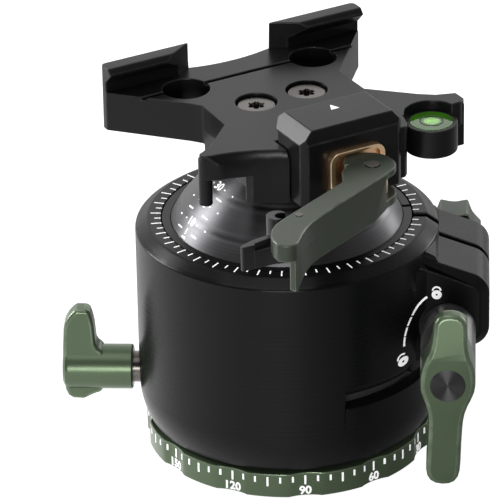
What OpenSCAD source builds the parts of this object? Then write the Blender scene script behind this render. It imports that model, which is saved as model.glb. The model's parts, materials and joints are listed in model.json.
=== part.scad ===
// Ball head with a panning base and a lever-release dovetail clamp.
// Origin: mouth of the tripod socket, centre of the underside. +Z up, X along the dovetail,
// +Y towards the fixed jaw. Sizes build on each other: ball, bore, housing, base, ear, clamp.

/* [Ball] */
// Radius of the ball
ball_radius = 27; // [24:0.5:30]
// Room between the ball and the housing's bore
ball_room = 1.2; // [0.8:0.1:1.6]
// Depth of the flat cut off the ball's underside
ball_flat = 6; // [4:0.25:7]
// Distance from the bearing's top to the ball's centre
ball_rise = 18.5; // [17.5:0.25:20]
// Radius of the ball's stem
stem_radius = 12; // [10:0.25:12.5]
// Rise of the stem above the ball
stem_rise = 2; // [1:0.25:6]
// Distance from the ball's centre up to the collet ring's lower end
collet_start = 3.5; // [3:0.25:5]
// Azimuth of the slit in the collet ring
collet_slit_azimuth = -22; // [-24:1:-10]
// Height of the ball seat
seat_height = 9; // [7:0.25:10]
// Height of the seat spring
spring_height = 1; // [0.8:0.1:1.4]

/* [Pan bearing] */
// Wall of the bearing ring between the housing and the pan drum
bearing_wall = 4.2; // [3.6:0.1:5]
// Wall of the pan drum
drum_wall = 3.7; // [3.4:0.1:4.2]
// Height of the pan drum above the base
drum_height = 13; // [12.5:0.25:15]
// Width of the drum's retaining flange
drum_flange = 1.4; // [0.8:0.1:1.6]
// Thickness of the thrust washer
washer_height = 0.8; // [0.5:0.1:1.2]
// Rise of the pan lock's axis above the base
pan_rise = 8.9; // [8.6:0.1:9.6]
// Azimuth of the pan lock
pan_azimuth = 148; // [120:1:170]
// Depth of the drum's locking groove
groove_depth = 1.2; // [0.8:0.1:1.4]

/* [Base] */
// Height of the base ring
base_height = 5.4; // [4.6:0.2:6.4]
// Step from the housing in to the base ring
base_step = 1.35; // [0.5:0.05:1.8]
// Step from the pan drum out to the base plate
plate_step = 2.4; // [2:0.1:2.8]
// Number of grip notches round the base ring
notch_count = 12; // [6:1:18]
// Depth of a grip notch
notch_depth = 0.8; // [0.4:0.1:1.2]
// Half width of a grip notch
notch_half_width = 3.4; // [2:0.2:4]
// Azimuth of the first grip notch
notch_azimuth = 6.4; // [0:0.1:30]
// Height of the flange that carries the ring
flange_height = 1.5; // [1:0.1:2]
// Width of the flange that carries the ring
flange_width = 1.2; // [0.8:0.1:1.6]
// Shank radius of a base screw
base_screw_radius = 1.2; // [0.8:0.1:1.3]

/* [Tripod socket] */
// Wall radius of the tripod thread
socket_radius = 3.97; // [3:0.01:4.2]
// Depth of the tripod thread
socket_depth = 8.6; // [7:0.1:9]
// Wall of the threaded bush
bush_wall = 3.03; // [2:0.01:4]
// Height of the boss that holds the bush
boss_height = 9.4; // [9:0.1:9.6]

/* [Housing] */
// Wall of the housing
housing_wall = 3.15; // [2.6:0.05:4]
// Distance from the ball's centre up to the rim
rim_rise = 12.7; // [12:0.1:13.4]
// Step from the housing in to the flat of the rim
rim_bevel = 2.55; // [2:0.05:3]
// Drop of the chamfer outside the rim
rim_drop = 1.8; // [1:0.1:2.4]
// Width of the lip under the rim
lip_width = 2.2; // [1.8:0.1:2.4]
// Depth of the lip under the rim
lip_depth = 3.3; // [2.6:0.1:3.8]
// Radius of the curve that draws the housing in at its foot
foot_curve = 17; // [14:0.5:24]
// Height of the foot curve
foot_rise = 7.8; // [6:0.2:9]
// Width of the clamping slit
slit_width = 1.5; // [1:0.1:2]
// Distance from the bearing's top to the relief slot
relief_rise = 0.9; // [0.4:0.1:1.4]
// Height of the relief slot
relief_slot = 2.7; // [2:0.1:2.9]
// Angle that the relief slot runs round the housing
relief_sweep = 66; // [50:1:80]
// Height of the bevelled land above the relief slot
relief_land = 2.2; // [1:0.1:2.4]

/* [Ear] */
// Azimuth of the clamping slit and ear
ear_azimuth = -32; // [-50:1:-20]
// Distance that the ear stands out of the housing
ear_width = 10.45; // [10:0.05:12.5]
// Front half width of the ear
ear_front = 15; // [14:0.25:16]
// Rear half width of the ear
ear_rear = 11.5; // [10.5:0.25:13]
// Drop from the rim to the ear's outer top
ear_sink = 6.8; // [6:0.2:7.6]
// Fall of the ear's top for each millimetre outwards
ear_slope = 0.4; // [0.2:0.05:0.5]
// Radius of the ear's outer roundings
ear_round = 4.6; // [3.6:0.2:5]
// Distance from the relief slot up to the ear's lowest outer point
ear_lift = 4; // [3.4:0.2:4.8]
// Bevel round the ear's front face
ear_bevel = 1.9; // [0.8:0.1:2.4]
// Radius of the fillets between ear and housing
ear_fillet = 4; // [3:0.25:4.5]

/* [Lock lever] */
// Distance from the ear's outer wall in to the lock bolt
lock_inset = 8.4; // [8:0.1:9]
// Distance from the ear's lowest outer point up to the lock bolt
lock_rise = 5.4; // [5.2:0.1:6]
// Radius of the lock bolt
bolt_radius = 2.5; // [2:0.1:2.8]
// Radius of the lever's neck
neck_radius = 5.6; // [5:0.1:6]
// Distance from the ear to the back of the lever
neck_length = 17.5; // [15:0.5:20]
// Thickness of the lever at its hub
lever_depth = 8; // [6:0.25:9]
// Hub radius of the lever
lever_hub = 5.65; // [5.2:0.05:6]
// Half width of the lever's upper arm
lever_upper = 3.05; // [2.6:0.05:3.4]
// Half width of the lever's lower arm
lever_lower = 3.6; // [3:0.1:3.9]
// Thickness of the lever at its tips
lever_tip = 3; // [2:0.25:4]
// Lean of the lever's lower arm towards the housing
lever_lean = 2.5; // [0:0.5:5]
// Reach of the lever's upper arm
lever_up = 16.9; // [14:0.1:19]
// Reach of the lever's lower arm
lever_down = 23.6; // [18:0.2:25]
// Radius of the lever's end cap
cap_radius = 3.8; // [3:0.1:4.2]

/* [Drag knob] */
// Distance from the ear's outer wall in to the drag screw
drag_inset = 7.4; // [6.5:0.1:7.6]
// Radius of the drag screw
drag_radius = 1.9; // [1.5:0.1:2.1]
// Distance from the ear's rear face to the drag knob
drag_gap = 1.8; // [1.6:0.1:3]
// Reach of the drag knob's lobes
drag_lobe_reach = 5.6; // [5:0.1:5.8]
// Radius of a lobe of the drag knob
drag_lobe = 1.9; // [1.4:0.1:2.1]
// Number of lobes on the drag knob
drag_lobes = 5; // [4:1:7]
// Depth of the drag knob
drag_depth = 7.2; // [5:0.2:9]

/* [Pan knob] */
// Radius of the pan screw
pan_screw_radius = 3.3; // [3:0.1:3.6]
// Radius of the pan knob's neck
pan_neck = 4.3; // [4.1:0.1:4.8]
// Distance from the housing to the pan knob's inner end
pan_knob_gap = 1.3; // [1:0.05:2]
// Length of the pan knob's neck
pan_neck_length = 7.65; // [7:0.05:8.4]
// Thickness of the pan knob's wing
pan_wing = 7.1; // [6:0.1:8]
// Half width of the pan knob's wing
pan_arm = 3.3; // [2.6:0.1:3.6]
// Reach of the pan knob's upper wing
pan_up = 14.2; // [12:0.2:14.2]
// Reach of the pan knob's lower wing
pan_down = 6.4; // [6:0.2:7]

/* [Clamp plate] */
// Thickness of the plate's core, from the ball's stem to the deck
core_thickness = 10; // [9.4:0.2:12]
// Length of the fixed jaw
jaw_length = 60; // [58:0.5:64]
// Thickness of the rear arms
rear_arm_depth = 8.5; // [7:0.25:9.5]
// Thickness of the front arms
front_arm_depth = 5.4; // [5:0.2:7]
// Height of the bevel along the left arm's front edge
edge_depth = 1.9; // [1.4:0.1:2.8]
// Width of the bevel along the left arm's front edge
edge_bevel = 0.9; // [0.5:0.1:1.2]
// Radius of the left arm's hollow front edge
front_curve = 33.7; // [33:0.1:34.4]
// Half width of the plate's waist
waist = 16.2; // [15.8:0.1:17]
// Distance from the axis to the fixed jaw's back
jaw_back = 23.5; // [23:0.25:24.5]
// Depth of the scoop in the rear edge
scoop_depth = 1.3; // [0.6:0.1:2]
// Half length of the gap between the fixed jaw's two posts
post_inner = 9.5; // [8:0.25:11]
// Radius of the windows in the rear arms
window_radius = 4.9; // [4:0.1:5.2]
// Distance from the axis to a window along the dovetail
window_x = 15; // [14.5:0.1:15.5]
// Distance from the axis to the relief groove
groove_y = 15.2; // [14.8:0.1:15.6]
// Distance from the axis to the front edge beside the movable jaw
front_y = 22.2; // [21.8:0.1:22.6]
// Half length of the plate's left front arm
left_tip_x = 27.9; // [27:0.1:29]
// Half length of the plate's right front arm
right_tip_x = 31; // [30:0.1:32]
// Half spacing of the plate screws
screw_x = 5.9; // [5.4:0.1:6.5]
// Distance of the plate screws from the axis towards the fixed jaw
screw_y = 1.5; // [0:0.1:2]
// Head radius of the plate screws
screw_head = 3.9; // [3.4:0.1:4.2]
// Shank radius of the plate screws
screw_shank = 2; // [1.5:0.1:2.2]
// Length of thread that a plate screw has in the stem
screw_bite = 8; // [6:0.5:9]

/* [Dovetail] */
// Height of the jaws above the deck
jaw_rise = 5.7; // [5:0.1:6.5]
// Distance from the axis to the fixed jaw's nose
nose_y = 19.15; // [18.8:0.05:19.5]
// Distance from the axis to the movable jaw's nose
jaw_nose = 15.1; // [14.8:0.05:15.4]
// Bevel above a nose
nose_bevel = 1.05; // [0.6:0.05:1.4]
// Depth of the undercut below a nose
undercut = 2.3; // [1.8:0.1:2.5]
// Flat on the tip of a nose
nose_flat = 0.3; // [0.2:0.05:0.6]

/* [Movable jaw] */
// Half width of the movable jaw
jaw_half = 11.7; // [11:0.1:12]
// Depth of the movable jaw from its undercut to its front face
jaw_depth = 10.1; // [9.6:0.1:10.6]
// Side bevel of the movable jaw, across
jaw_bevel_x = 2.4; // [1:0.1:3]
// Side bevel of the movable jaw, down
jaw_bevel_z = 2.9; // [2:0.1:4]
// Chamfer of the movable jaw's front corners
jaw_corner = 1.3; // [0.6:0.1:1.6]
// Drop of the movable jaw's underside below the plate's core
jaw_drop = 0.7; // [0.3:0.1:1.3]
// Half spacing of the guide pins
guide_x = 8.6; // [8.2:0.1:8.8]
// Radius of the guide pins
guide_radius = 1.4; // [1:0.1:1.5]
// Drop of the pull rod and guide pins below the deck
rod_drop = 4.5; // [4.3:0.1:4.7]
// Radius of the pull rod
rod_radius = 1.6; // [1.2:0.1:1.7]

/* [Cam lever] */
// Swing of the cam lever from the closed position
cam_open_angle = 24; // [10:1:30]
// Further swing of the cam lever to its open stop
cam_travel = 76; // [60:1:80]
// Cam radius where it bears on the frame
cam_radius = 6.2; // [5.8:0.1:6.4]
// Loss of cam radius for each radian of opening
cam_rise = 1.08; // [0.8:0.02:1.2]
// Drop of the cam lever's top below the deck
cam_drop = 0.7; // [0.5:0.1:0.9]
// Thickness of the cam lever
cam_depth = 7.8; // [7.2:0.1:8.2]
// Length of the cam lever from its pivot
cam_length = 38; // [34:0.5:42]
// Radius of the cam pin
cam_pin_radius = 1.45; // [1:0.05:1.8]
// Half width of the cam frame
frame_half = 6.3; // [5.8:0.1:6.5]
// Height of the cam frame
frame_height = 9.8; // [9:0.1:10]
// Distance that the cam frame stands out of the jaw
frame_proud = 1.7; // [1.2:0.1:2]
// Depth of the pocket in the cam frame
frame_recess = 0.9; // [0.6:0.1:1.2]
// Wall of the cam frame
frame_wall = 1.2; // [0.8:0.1:1.4]
// Corner radius of the cam frame
frame_corner = 2.2; // [1.6:0.1:2.6]

/* [Safety latch] */
// Distance from the cam pivot to the latch pin
latch_x = 26.4; // [24:0.2:28]
// Distance from the lever's rear edge to the latch pin
latch_y = 1.2; // [1:0.1:1.6]
// Thickness of the safety latch
latch_depth = 5.2; // [4.6:0.1:5.6]
// Length of the latch's thumb piece
latch_length = 12.2; // [11:0.2:14]
// Outer radius of the latch's hook
hook_radius = 3.4; // [3:0.1:3.8]
// Radius of the latch pin
latch_pin_radius = 0.8; // [0.6:0.05:0.9]

/* [Bubble level] */
// Centre of the level along the dovetail
level_x = 21.9; // [21.4:0.1:22.4]
// Centre of the level towards the front
level_y = 21.2; // [20.8:0.1:21.6]
// Wall of the level's housing
level_wall = 0.95; // [0.8:0.05:1.2]
// Radius of the vial
vial_radius = 4.4; // [4:0.1:4.6]
// Height of the vial with its window
vial_height = 4.2; // [3.6:0.1:4.6]
// Height of the level's housing
level_height = 6.1; // [5.6:0.1:6.6]
// Depth of the vial's top below the deck
level_sink = 2; // [1.2:0.1:2.4]

/* [Hidden] */
$fn = 96;

// Running clearance of a shaft in its bore
run = 0.05;
// Clearance of a piece seated in its recess
seat = 0.03;
// Clearance between pieces that move past each other
gap = 0.2;
// Overshoot of a cutting shape
over = 1;

// Radii, from the ball outwards
bore_radius = ball_radius + ball_room;
body_radius = bore_radius + housing_wall;
rim_radius = body_radius - rim_bevel;
rim_opening = bore_radius - lip_width;
drum_radius = bore_radius - bearing_wall;
drum_bore = drum_radius - drum_wall;
plate_radius = drum_radius + plate_step;
base_radius = body_radius - base_step;
base_screw_circle = drum_radius - drum_wall / 2;
bush_radius = socket_radius + bush_wall;
ear_reach = body_radius + ear_width;
lock_reach = ear_reach - lock_inset;
drag_reach = ear_reach - drag_inset;
pan_knob_start = body_radius + pan_knob_gap;

// Heights, from the base upwards
body_bottom = base_height + washer_height;
drum_top = base_height + drum_height;
drum_flange_height = 1;
drum_flange_low = drum_top - drum_flange_height;
pan_height = base_height + pan_rise;
foot_height = body_bottom + foot_rise;
ledge_height = drum_top + 0.6;
relief_height = ledge_height + relief_rise;
relief_top = relief_height + relief_slot;
ball_height = ledge_height + ball_rise;
ball_cut = ball_radius - ball_flat;
collet_bottom = ball_height + collet_start;
rim_height = ball_height + rim_rise;
lip_top = rim_height - lip_depth;
ear_top = rim_height - ear_sink;
ear_bottom = relief_top + ear_lift;
lock_height = ear_bottom + lock_rise;
core_bottom = ball_height + ball_radius + stem_rise;
deck_height = core_bottom + core_thickness;
rod_height = deck_height - rod_drop;

// Base
ring_bore = plate_radius + seat;
flange_radius = plate_radius + flange_width;
notch_floor = base_radius - notch_depth;
notch_sag = notch_depth - (base_radius - sqrt(pow(base_radius, 2) - pow(notch_half_width, 2)));
notch_curve = (pow(notch_half_width, 2) + pow(notch_sag, 2)) / (2 * notch_sag);
base_screw_head = 2.2 * base_screw_radius;
base_screw_cone = base_screw_head - base_screw_radius;
base_screw_tip = base_height + 4.2 * base_screw_radius;
bush_flange = 0.6;

// Housing and ear
foot_angle = asin((body_bottom - foot_height) / foot_curve);
land_depth = 1.1;
ear_corner = ear_reach - ear_round;
ear_top_angle = 90 - atan(ear_slope);
ear_under_angle = -65;
fillet_bite = 0.06;
hollow_radius = 4.3;
pan_spot_depth = 0.9;
spot_room = 0.5;

// Lock lever and drag knob
washer_gap = 0.4;
neck_start = ear_front + washer_gap;
lever_back = ear_front + neck_length;
lever_face = lever_back + lever_depth;
bolt_bite = 3;
cap_depth = 0.7;
nut_radius = bolt_radius + 1.4;
nut_depth = 4;
drag_start = ear_rear + drag_gap;
drag_height = lock_height + nut_radius + drag_radius + 1.1;
drag_socket = 0.7 * drag_depth;

// Dovetail and movable jaw
jaw_top = deck_height + jaw_rise;
nose_top = jaw_top - nose_bevel;
nose_low = nose_top - nose_flat;
undercut_low = nose_low - undercut;
jaw_end = jaw_length / 2;
block_low = core_bottom - 1.4;
claw_low = core_bottom - 1.2;
screw_sink = 0.7;
screw_head_height = 0.56 * screw_head;
slot_half = jaw_half + 0.15;
jaw_rear = jaw_nose + undercut;
jaw_front = jaw_rear + jaw_depth;
jaw_bottom = core_bottom - jaw_drop;
slot_wall = jaw_rear - 0.8;
pin_bite = 7;
nut_wall = 1.3;
rod_nut_length = 2.9;
spring_outer = rod_radius + 1.3;
spring_seat = 4;

// Cam lever and its frame
frame_face = jaw_front + frame_proud;
frame_floor = frame_face - frame_recess;
frame_seat = jaw_front - 2.8;
pivot_y = frame_floor + cam_radius + gap;
cam_top = deck_height - cam_drop;
cam_low = cam_top - cam_depth;
cam_nose_sweep = 36;
cam_nose_fall = 1.1;
fork_half = 2.3;
eye_half = fork_half - 0.15;
eye_radius = cam_pin_radius + 1.5;
latch_low = cam_low - 1.6;
latch_top = latch_low + latch_depth;
latch_half = 2.5 * latch_pin_radius;

// Front edge of the left arm
curve_x = -left_tip_x - 3.4;
curve_y = -front_y - 27.8;

// Level
level_radius = vial_radius + level_wall;
level_top = deck_height - level_sink;
level_bottom = level_top - level_height;
vial_low = level_top - vial_height;
window_height = vial_height / 7;

// Points of an arc about (cx, cy)
function arc(cx, cy, r, a0, a1, n = 8) =
    [for (i = [0:n]) let (a = a0 + (a1 - a0) * i / n) [cx + r * cos(a), cy + r * sin(a)]];

// Points of a list mirrored across the Y axis, in reverse order
function mirrored(points) =
    [for (i = [len(points) - 1:-1:0]) [-points[i][0], points[i][1]]];

// Children in the ear's frame: x outwards, y towards the rear, z up
module at_ear() {
    rotate([0, 0, ear_azimuth]) children();
}

// Children in the pan lock's frame: x outwards, z up
module at_pan() {
    rotate([0, 0, pan_azimuth]) children();
}

// Children with their z axis laid along the ear's front direction, at reach and height
module along_ear(reach, height) {
    at_ear() translate([reach, 0, height]) rotate([90, 0, 0]) children();
}

// Children in the cam lever's frame: x along the lever, y towards its front
module at_cam() {
    translate([0, -pivot_y, 0]) rotate([0, 0, 180 + cam_open_angle]) children();
}

// Profile in (y, z) drawn out along x, centred
module drawn_x(length) {
    translate([-length / 2, 0, 0]) rotate([90, 0, 90]) linear_extrude(height = length) children();
}

// Cylinder along +y from y0 to y1
module rod_y(r, y0, y1) {
    translate([0, y0, 0]) rotate([-90, 0, 0]) cylinder(r = r, h = y1 - y0);
}

module rounded_rect(half_x, half_y, r) {
    square([2 * half_x, 2 * (half_y - r)], center = true);
    square([2 * (half_x - r), 2 * half_y], center = true);
    for (sx = [-1, 1], sy = [-1, 1]) translate([sx * (half_x - r), sy * (half_y - r)]) circle(r = r);
}

// Centre of the hollow between a paddle's hub and an arm
function hollow_centre(hub, arm, hollow) =
    let (x = arm + hollow - fillet_bite) [x, sqrt(pow(hub + hollow - fillet_bite, 2) - pow(x, 2))];

// Outline of a paddle: hub, a round-ended upper arm, a square-ended lower arm and hollows between
module paddle_outline(hub, upper, lower, up, down, hollow = 8) {
    corner = 0.4 * lower;
    share = 0.96 * hub / (hub + hollow);
    top = hollow_centre(hub, upper, hollow);
    low = hollow_centre(hub, lower, hollow);
    difference() {
        union() {
            circle(r = hub);
            translate([-upper, 0]) square([2 * upper, up - upper]);
            translate([0, up - upper]) circle(r = upper);
            translate([-lower, corner - down]) square([2 * lower, down - corner]);
            translate([corner - lower, -down]) square([2 * (lower - corner), down]);
            for (side = [-1, 1]) translate([side * (lower - corner), corner - down]) circle(r = corner);
            polygon([[lower, -low[1]], [low[0] * share, -low[1] * share],
                     [top[0] * share, top[1] * share], [upper, top[1]], [-upper, top[1]],
                     [-top[0] * share, top[1] * share], [-low[0] * share, -low[1] * share],
                     [-lower, -low[1]]]);
        }
        for (side = [-1, 1]) {
            translate([side * top[0], top[1]]) circle(r = hollow);
            translate([side * low[0], -low[1]]) circle(r = hollow);
        }
    }
}

module base_ring() {
    color("darkolivegreen") difference() {
        cylinder(r = base_radius, h = base_height);
        translate([0, 0, -over]) cylinder(r = ring_bore, h = base_height + 2 * over);
        translate([0, 0, -over]) cylinder(r = flange_radius + seat, h = flange_height + over);
        for (i = [0:notch_count - 1])
            rotate([0, 0, notch_azimuth + i * 360 / notch_count])
                translate([notch_floor + notch_curve, 0, -over])
                    cylinder(r = notch_curve, h = base_height + 2 * over);
    }
}

module base_plate() {
    color("dimgray") difference() {
        union() {
            cylinder(r = plate_radius, h = base_height);
            cylinder(r = flange_radius, h = flange_height);
            cylinder(r = bush_radius + 3, h = boss_height);
        }
        translate([0, 0, -over]) cylinder(r = bush_radius + seat, h = boss_height + 2 * over);
        for (i = [0:2]) rotate([0, 0, i * 120])
            translate([base_screw_circle, 0, 0]) base_screw_shape(gap / 2);
    }
}

// A countersunk base screw, or with extra the hole that takes it
module base_screw_shape(extra = 0) {
    translate([0, 0, gap - extra])
        cylinder(r1 = base_screw_head + extra, r2 = base_screw_radius + extra, h = base_screw_cone);
    translate([0, 0, base_screw_cone / 2])
        cylinder(r = base_screw_radius + extra, h = base_screw_tip - base_screw_cone / 2);
    if (extra > 0) translate([0, 0, -over]) cylinder(r = base_screw_head + extra, h = over + gap);
}

module base_screws() {
    color("silver") for (i = [0:2])
        rotate([0, 0, i * 120]) translate([base_screw_circle, 0, 0]) base_screw_shape();
}

module socket_bush() {
    color("silver") difference() {
        union() {
            cylinder(r = bush_radius, h = boss_height);
            translate([0, 0, boss_height]) cylinder(r = bush_radius + 1.5, h = bush_flange);
        }
        translate([0, 0, -over]) cylinder(r = socket_radius, h = socket_depth + over);
    }
}

module pan_drum() {
    color("gray") difference() {
        rotate_extrude() polygon([
            [drum_bore, base_height], [drum_radius, base_height],
            [drum_radius, pan_height - groove_depth],
            [drum_radius - groove_depth, pan_height],
            [drum_radius, pan_height + groove_depth],
            [drum_radius, drum_flange_low], [drum_radius + drum_flange, drum_flange_low],
            [drum_radius + drum_flange, drum_top], [drum_bore, drum_top]
        ]);
        for (i = [0:2])
            rotate([0, 0, i * 120]) translate([base_screw_circle, 0, base_height - over])
                cylinder(r = base_screw_radius + seat, h = base_screw_tip - base_height + over + 0.5);
    }
}

module thrust_washer() {
    color("white") translate([0, 0, base_height]) difference() {
        cylinder(r = plate_radius - 0.3, h = washer_height);
        translate([0, 0, -over]) cylinder(r = drum_radius + gap, h = washer_height + 2 * over);
    }
}

// Outline of the ear in (reach, height)
function ear_points() = concat(
    [[bore_radius - 1, relief_top + 0.3],
     [bore_radius - 1, ear_top + ear_slope * (ear_corner - bore_radius + 1)]],
    arc(ear_corner, ear_top - ear_round, ear_round, ear_top_angle, 0),
    arc(ear_corner, ear_bottom + ear_round, ear_round, 0, ear_under_angle),
    [[body_radius, relief_top + 0.3]]
);

// Wedge that bevels the ear's front edge, square to a direction about a rounding's centre
module ear_edge_cut(height, angle) {
    translate([ear_corner, 0, height]) rotate([0, -angle, 0])
        translate([ear_round, ear_bevel - ear_front, 0]) rotate([0, 0, -45])
            translate([0, -30, -30]) cube([20, 60, 60]);
}

// Concave fillet between housing and the ear's rear side, seen from above
module ear_side_fillet(half) {
    centre_y = half + ear_fillet - fillet_bite;
    centre_x = sqrt(pow(body_radius + ear_fillet - fillet_bite, 2) - pow(centre_y, 2));
    touch = (body_radius - 0.5) / (body_radius + ear_fillet);
    difference() {
        polygon([[bore_radius - 3, half - 3], [centre_x, half - 3], [centre_x, half],
                 [centre_x * touch, centre_y * touch]]);
        translate([centre_x, centre_y]) circle(r = ear_fillet);
    }
}

module ear_body() {
    difference() {
        translate([0, ear_rear, 0]) rotate([90, 0, 0]) linear_extrude(height = ear_rear + ear_front)
            polygon(ear_points());
        for (i = [0:4]) ear_edge_cut(ear_top - ear_round, ear_top_angle * i / 4);
        for (i = [1:4]) ear_edge_cut(ear_bottom + ear_round, ear_under_angle * i / 4);
    }
    // hollow where the ear's top runs up to the rim
    hollow_x = body_radius + 0.8 * hollow_radius;
    hollow_z = ear_top + ear_slope * (ear_corner - hollow_x) + hollow_radius - 0.1;
    translate([0, ear_rear - 1, 0]) rotate([90, 0, 0])
        linear_extrude(height = ear_rear + ear_front - ear_bevel - 1)
            polygon(concat([[bore_radius, hollow_z - 6], [bore_radius, rim_height - rim_drop]],
                           arc(hollow_x, hollow_z, hollow_radius, 200, 265)));
    fillet_low = relief_top + ear_bevel;
    translate([0, 0, fillet_low]) linear_extrude(height = ear_top + 1.5 - fillet_low) {
        ear_side_fillet(ear_rear);
        mirror([0, 1]) ear_side_fillet(ear_front);
    }
}

module housing() {
    color("#262626") difference() {
        union() {
            rotate_extrude() polygon(concat(
                [[bore_radius - 2, body_bottom]],
                arc(body_radius - foot_curve, foot_height, foot_curve, foot_angle, 0, 10),
                [[body_radius, rim_height - rim_drop], [rim_radius, rim_height],
                 [rim_opening - 1, rim_height], [rim_opening - 1, body_bottom + over]]));
            at_ear() ear_body();
        }
        translate([0, 0, body_bottom - over]) cylinder(r = bore_radius, h = lip_top - body_bottom + over);
        translate([0, 0, lip_top - over]) cylinder(r = rim_opening, h = lip_depth + 2 * over);
        // clamping slit and relief slot with its bevelled land
        at_ear() translate([rim_opening - 6, -slit_width / 2, relief_height + relief_slot / 2])
            cube([ear_reach, slit_width, rim_height]);
        rotate([0, 0, ear_azimuth - relief_sweep]) rotate_extrude(angle = relief_sweep + 3)
            translate([bore_radius - 1, relief_height]) square([ear_reach, relief_slot]);
        rotate([0, 0, ear_azimuth - relief_sweep]) rotate_extrude(angle = relief_sweep - 34)
            polygon([[body_radius - land_depth, relief_top - 0.2],
                     [body_radius + land_depth, relief_top - 0.2],
                     [body_radius + land_depth, relief_top + 2 * relief_land],
                     [body_radius - land_depth, relief_top]]);
        // lock bolt, its nut, drag screw
        along_ear(lock_reach, lock_height) translate([0, 0, -ear_rear - over])
            cylinder(r = bolt_radius + run, h = ear_rear + ear_front + 2 * over);
        along_ear(lock_reach, lock_height) translate([0, 0, -ear_rear - over])
            cylinder(r = nut_radius + seat, h = nut_depth + over);
        along_ear(drag_reach, drag_height) translate([0, 0, -ear_rear - over])
            cylinder(r = drag_radius + run, h = ear_rear + over);
        // spot face under the lever's neck
        along_ear(lock_reach, lock_height) translate([0, 0, ear_front])
            cylinder(r = neck_radius + spot_room, h = ear_front);
        // pan screw and its spot face
        at_pan() translate([bore_radius - 3, 0, pan_height]) rotate([0, 90, 0])
            cylinder(r = pan_screw_radius + run, h = body_radius);
        at_pan() translate([body_radius - pan_spot_depth, 0, pan_height]) rotate([0, 90, 0])
            cylinder(r = pan_neck + spot_room, h = pan_neck);
    }
}

module bearing_ring() {
    color("#3a3a3a") difference() {
        translate([0, 0, body_bottom]) cylinder(r = bore_radius - seat, h = ledge_height - body_bottom);
        translate([0, 0, body_bottom - over]) cylinder(r = drum_radius + run, h = ledge_height);
        translate([0, 0, drum_flange_low - 0.1])
            cylinder(r = drum_radius + drum_flange + gap, h = ledge_height - drum_flange_low + over);
        at_pan() translate([drum_radius - 2, 0, pan_height]) rotate([0, 90, 0])
            cylinder(r = pan_screw_radius + run, h = bore_radius);
    }
}

module collet_ring() {
    color("#4a4a4a") difference() {
        union() {
            translate([0, 0, collet_bottom])
                cylinder(r = bore_radius - 0.1, h = lip_top - collet_bottom - 0.1);
            translate([0, 0, collet_bottom])
                cylinder(r = rim_opening - gap, h = rim_height - collet_bottom - 0.1);
        }
        translate([0, 0, ball_height]) sphere(r = ball_radius + run);
        rotate([0, 0, collet_slit_azimuth]) translate([0, -0.4, collet_bottom - over])
            cube([bore_radius + over, 0.8, rim_height]);
    }
}

module seat_spring() {
    color("silver") translate([0, 0, ledge_height]) difference() {
        cylinder(r = bore_radius - gap, h = spring_height);
        translate([0, 0, -over])
            cylinder(r = drum_radius + drum_flange + gap, h = spring_height + 2 * over);
    }
}

module ball_seat() {
    color("ivory") difference() {
        translate([0, 0, ledge_height + spring_height]) cylinder(r = bore_radius - 0.1, h = seat_height);
        translate([0, 0, ball_height]) sphere(r = ball_radius + run);
    }
}

module lock_nut() {
    color("silver") along_ear(lock_reach, lock_height) difference() {
        translate([0, 0, -ear_rear]) cylinder(r = nut_radius, h = nut_depth);
        translate([0, 0, -ear_rear - over]) cylinder(r = bolt_radius + run, h = nut_depth + 2 * over);
    }
}

module lock_bolt() {
    color("silver") along_ear(lock_reach, lock_height)
        translate([0, 0, 0.5 - ear_rear])
            cylinder(r = bolt_radius, h = ear_rear - 0.5 + lever_back + bolt_bite);
}

module neck_washer() {
    color("white") along_ear(lock_reach, lock_height) translate([0, 0, ear_front]) difference() {
        cylinder(r = neck_radius - 0.6, h = washer_gap);
        translate([0, 0, -over]) cylinder(r = bolt_radius + run, h = washer_gap + 2 * over);
    }
}

module lever_neck() {
    color("#555555") along_ear(lock_reach, lock_height) difference() {
        translate([0, 0, neck_start]) cylinder(r = neck_radius, h = lever_back - neck_start);
        translate([0, 0, neck_start - over]) cylinder(r = bolt_radius + seat, h = lever_back);
    }
}

// Side view of the lock lever: x is depth from its back, y is height; the back draws in to the tips
module lever_side() {
    back = lever_depth - lever_tip;
    front = lever_depth + over;
    polygon([[-over, -lever_hub], [0, -lever_hub], [back, -lever_down], [back, -lever_down - over],
             [front, -lever_down - over], [front, lever_up + over], [back, lever_up + over],
             [back, lever_up], [0, lever_hub], [-over, lever_hub]]);
}

module lock_lever() {
    color("darkolivegreen") along_ear(lock_reach, lock_height) translate([0, 0, lever_back])
        rotate([0, 0, -lever_lean]) difference() {
            intersection() {
                linear_extrude(height = lever_depth)
                    paddle_outline(lever_hub, lever_upper, lever_lower, lever_up, lever_down);
                rotate([0, -90, 0]) linear_extrude(height = 4 * lever_hub, center = true) lever_side();
            }
            translate([0, 0, lever_depth - cap_depth])
                cylinder(r = cap_radius + seat, h = cap_depth + over);
            translate([0, 0, -over]) cylinder(r = bolt_radius + seat, h = bolt_bite + gap + over);
        }
}

module lever_cap() {
    color("#1c1c1c") along_ear(lock_reach, lock_height) translate([0, 0, lever_face - cap_depth])
        difference() {
            cylinder(r = cap_radius, h = cap_depth);
            translate([0, 0, cap_depth - 0.3])
                cylinder(r1 = cap_radius - 0.9, r2 = cap_radius - 0.5, h = 0.4);
        }
}

module drag_knob() {
    color("darkolivegreen") along_ear(drag_reach, drag_height) difference() {
        union() {
            translate([0, 0, -drag_start - drag_depth]) linear_extrude(height = drag_depth) {
                circle(r = drag_lobe_reach - 0.8 * drag_lobe);
                for (i = [0:drag_lobes - 1]) rotate([0, 0, -90 + i * 360 / drag_lobes])
                    translate([drag_lobe_reach - drag_lobe, 0]) circle(r = drag_lobe);
            }
            translate([0, 0, -drag_start]) cylinder(r = drag_radius + 1, h = drag_start - ear_rear - 0.1);
        }
        translate([0, 0, -drag_start - drag_socket])
            cylinder(r = drag_radius + seat, h = drag_start + drag_depth);
    }
}

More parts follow.
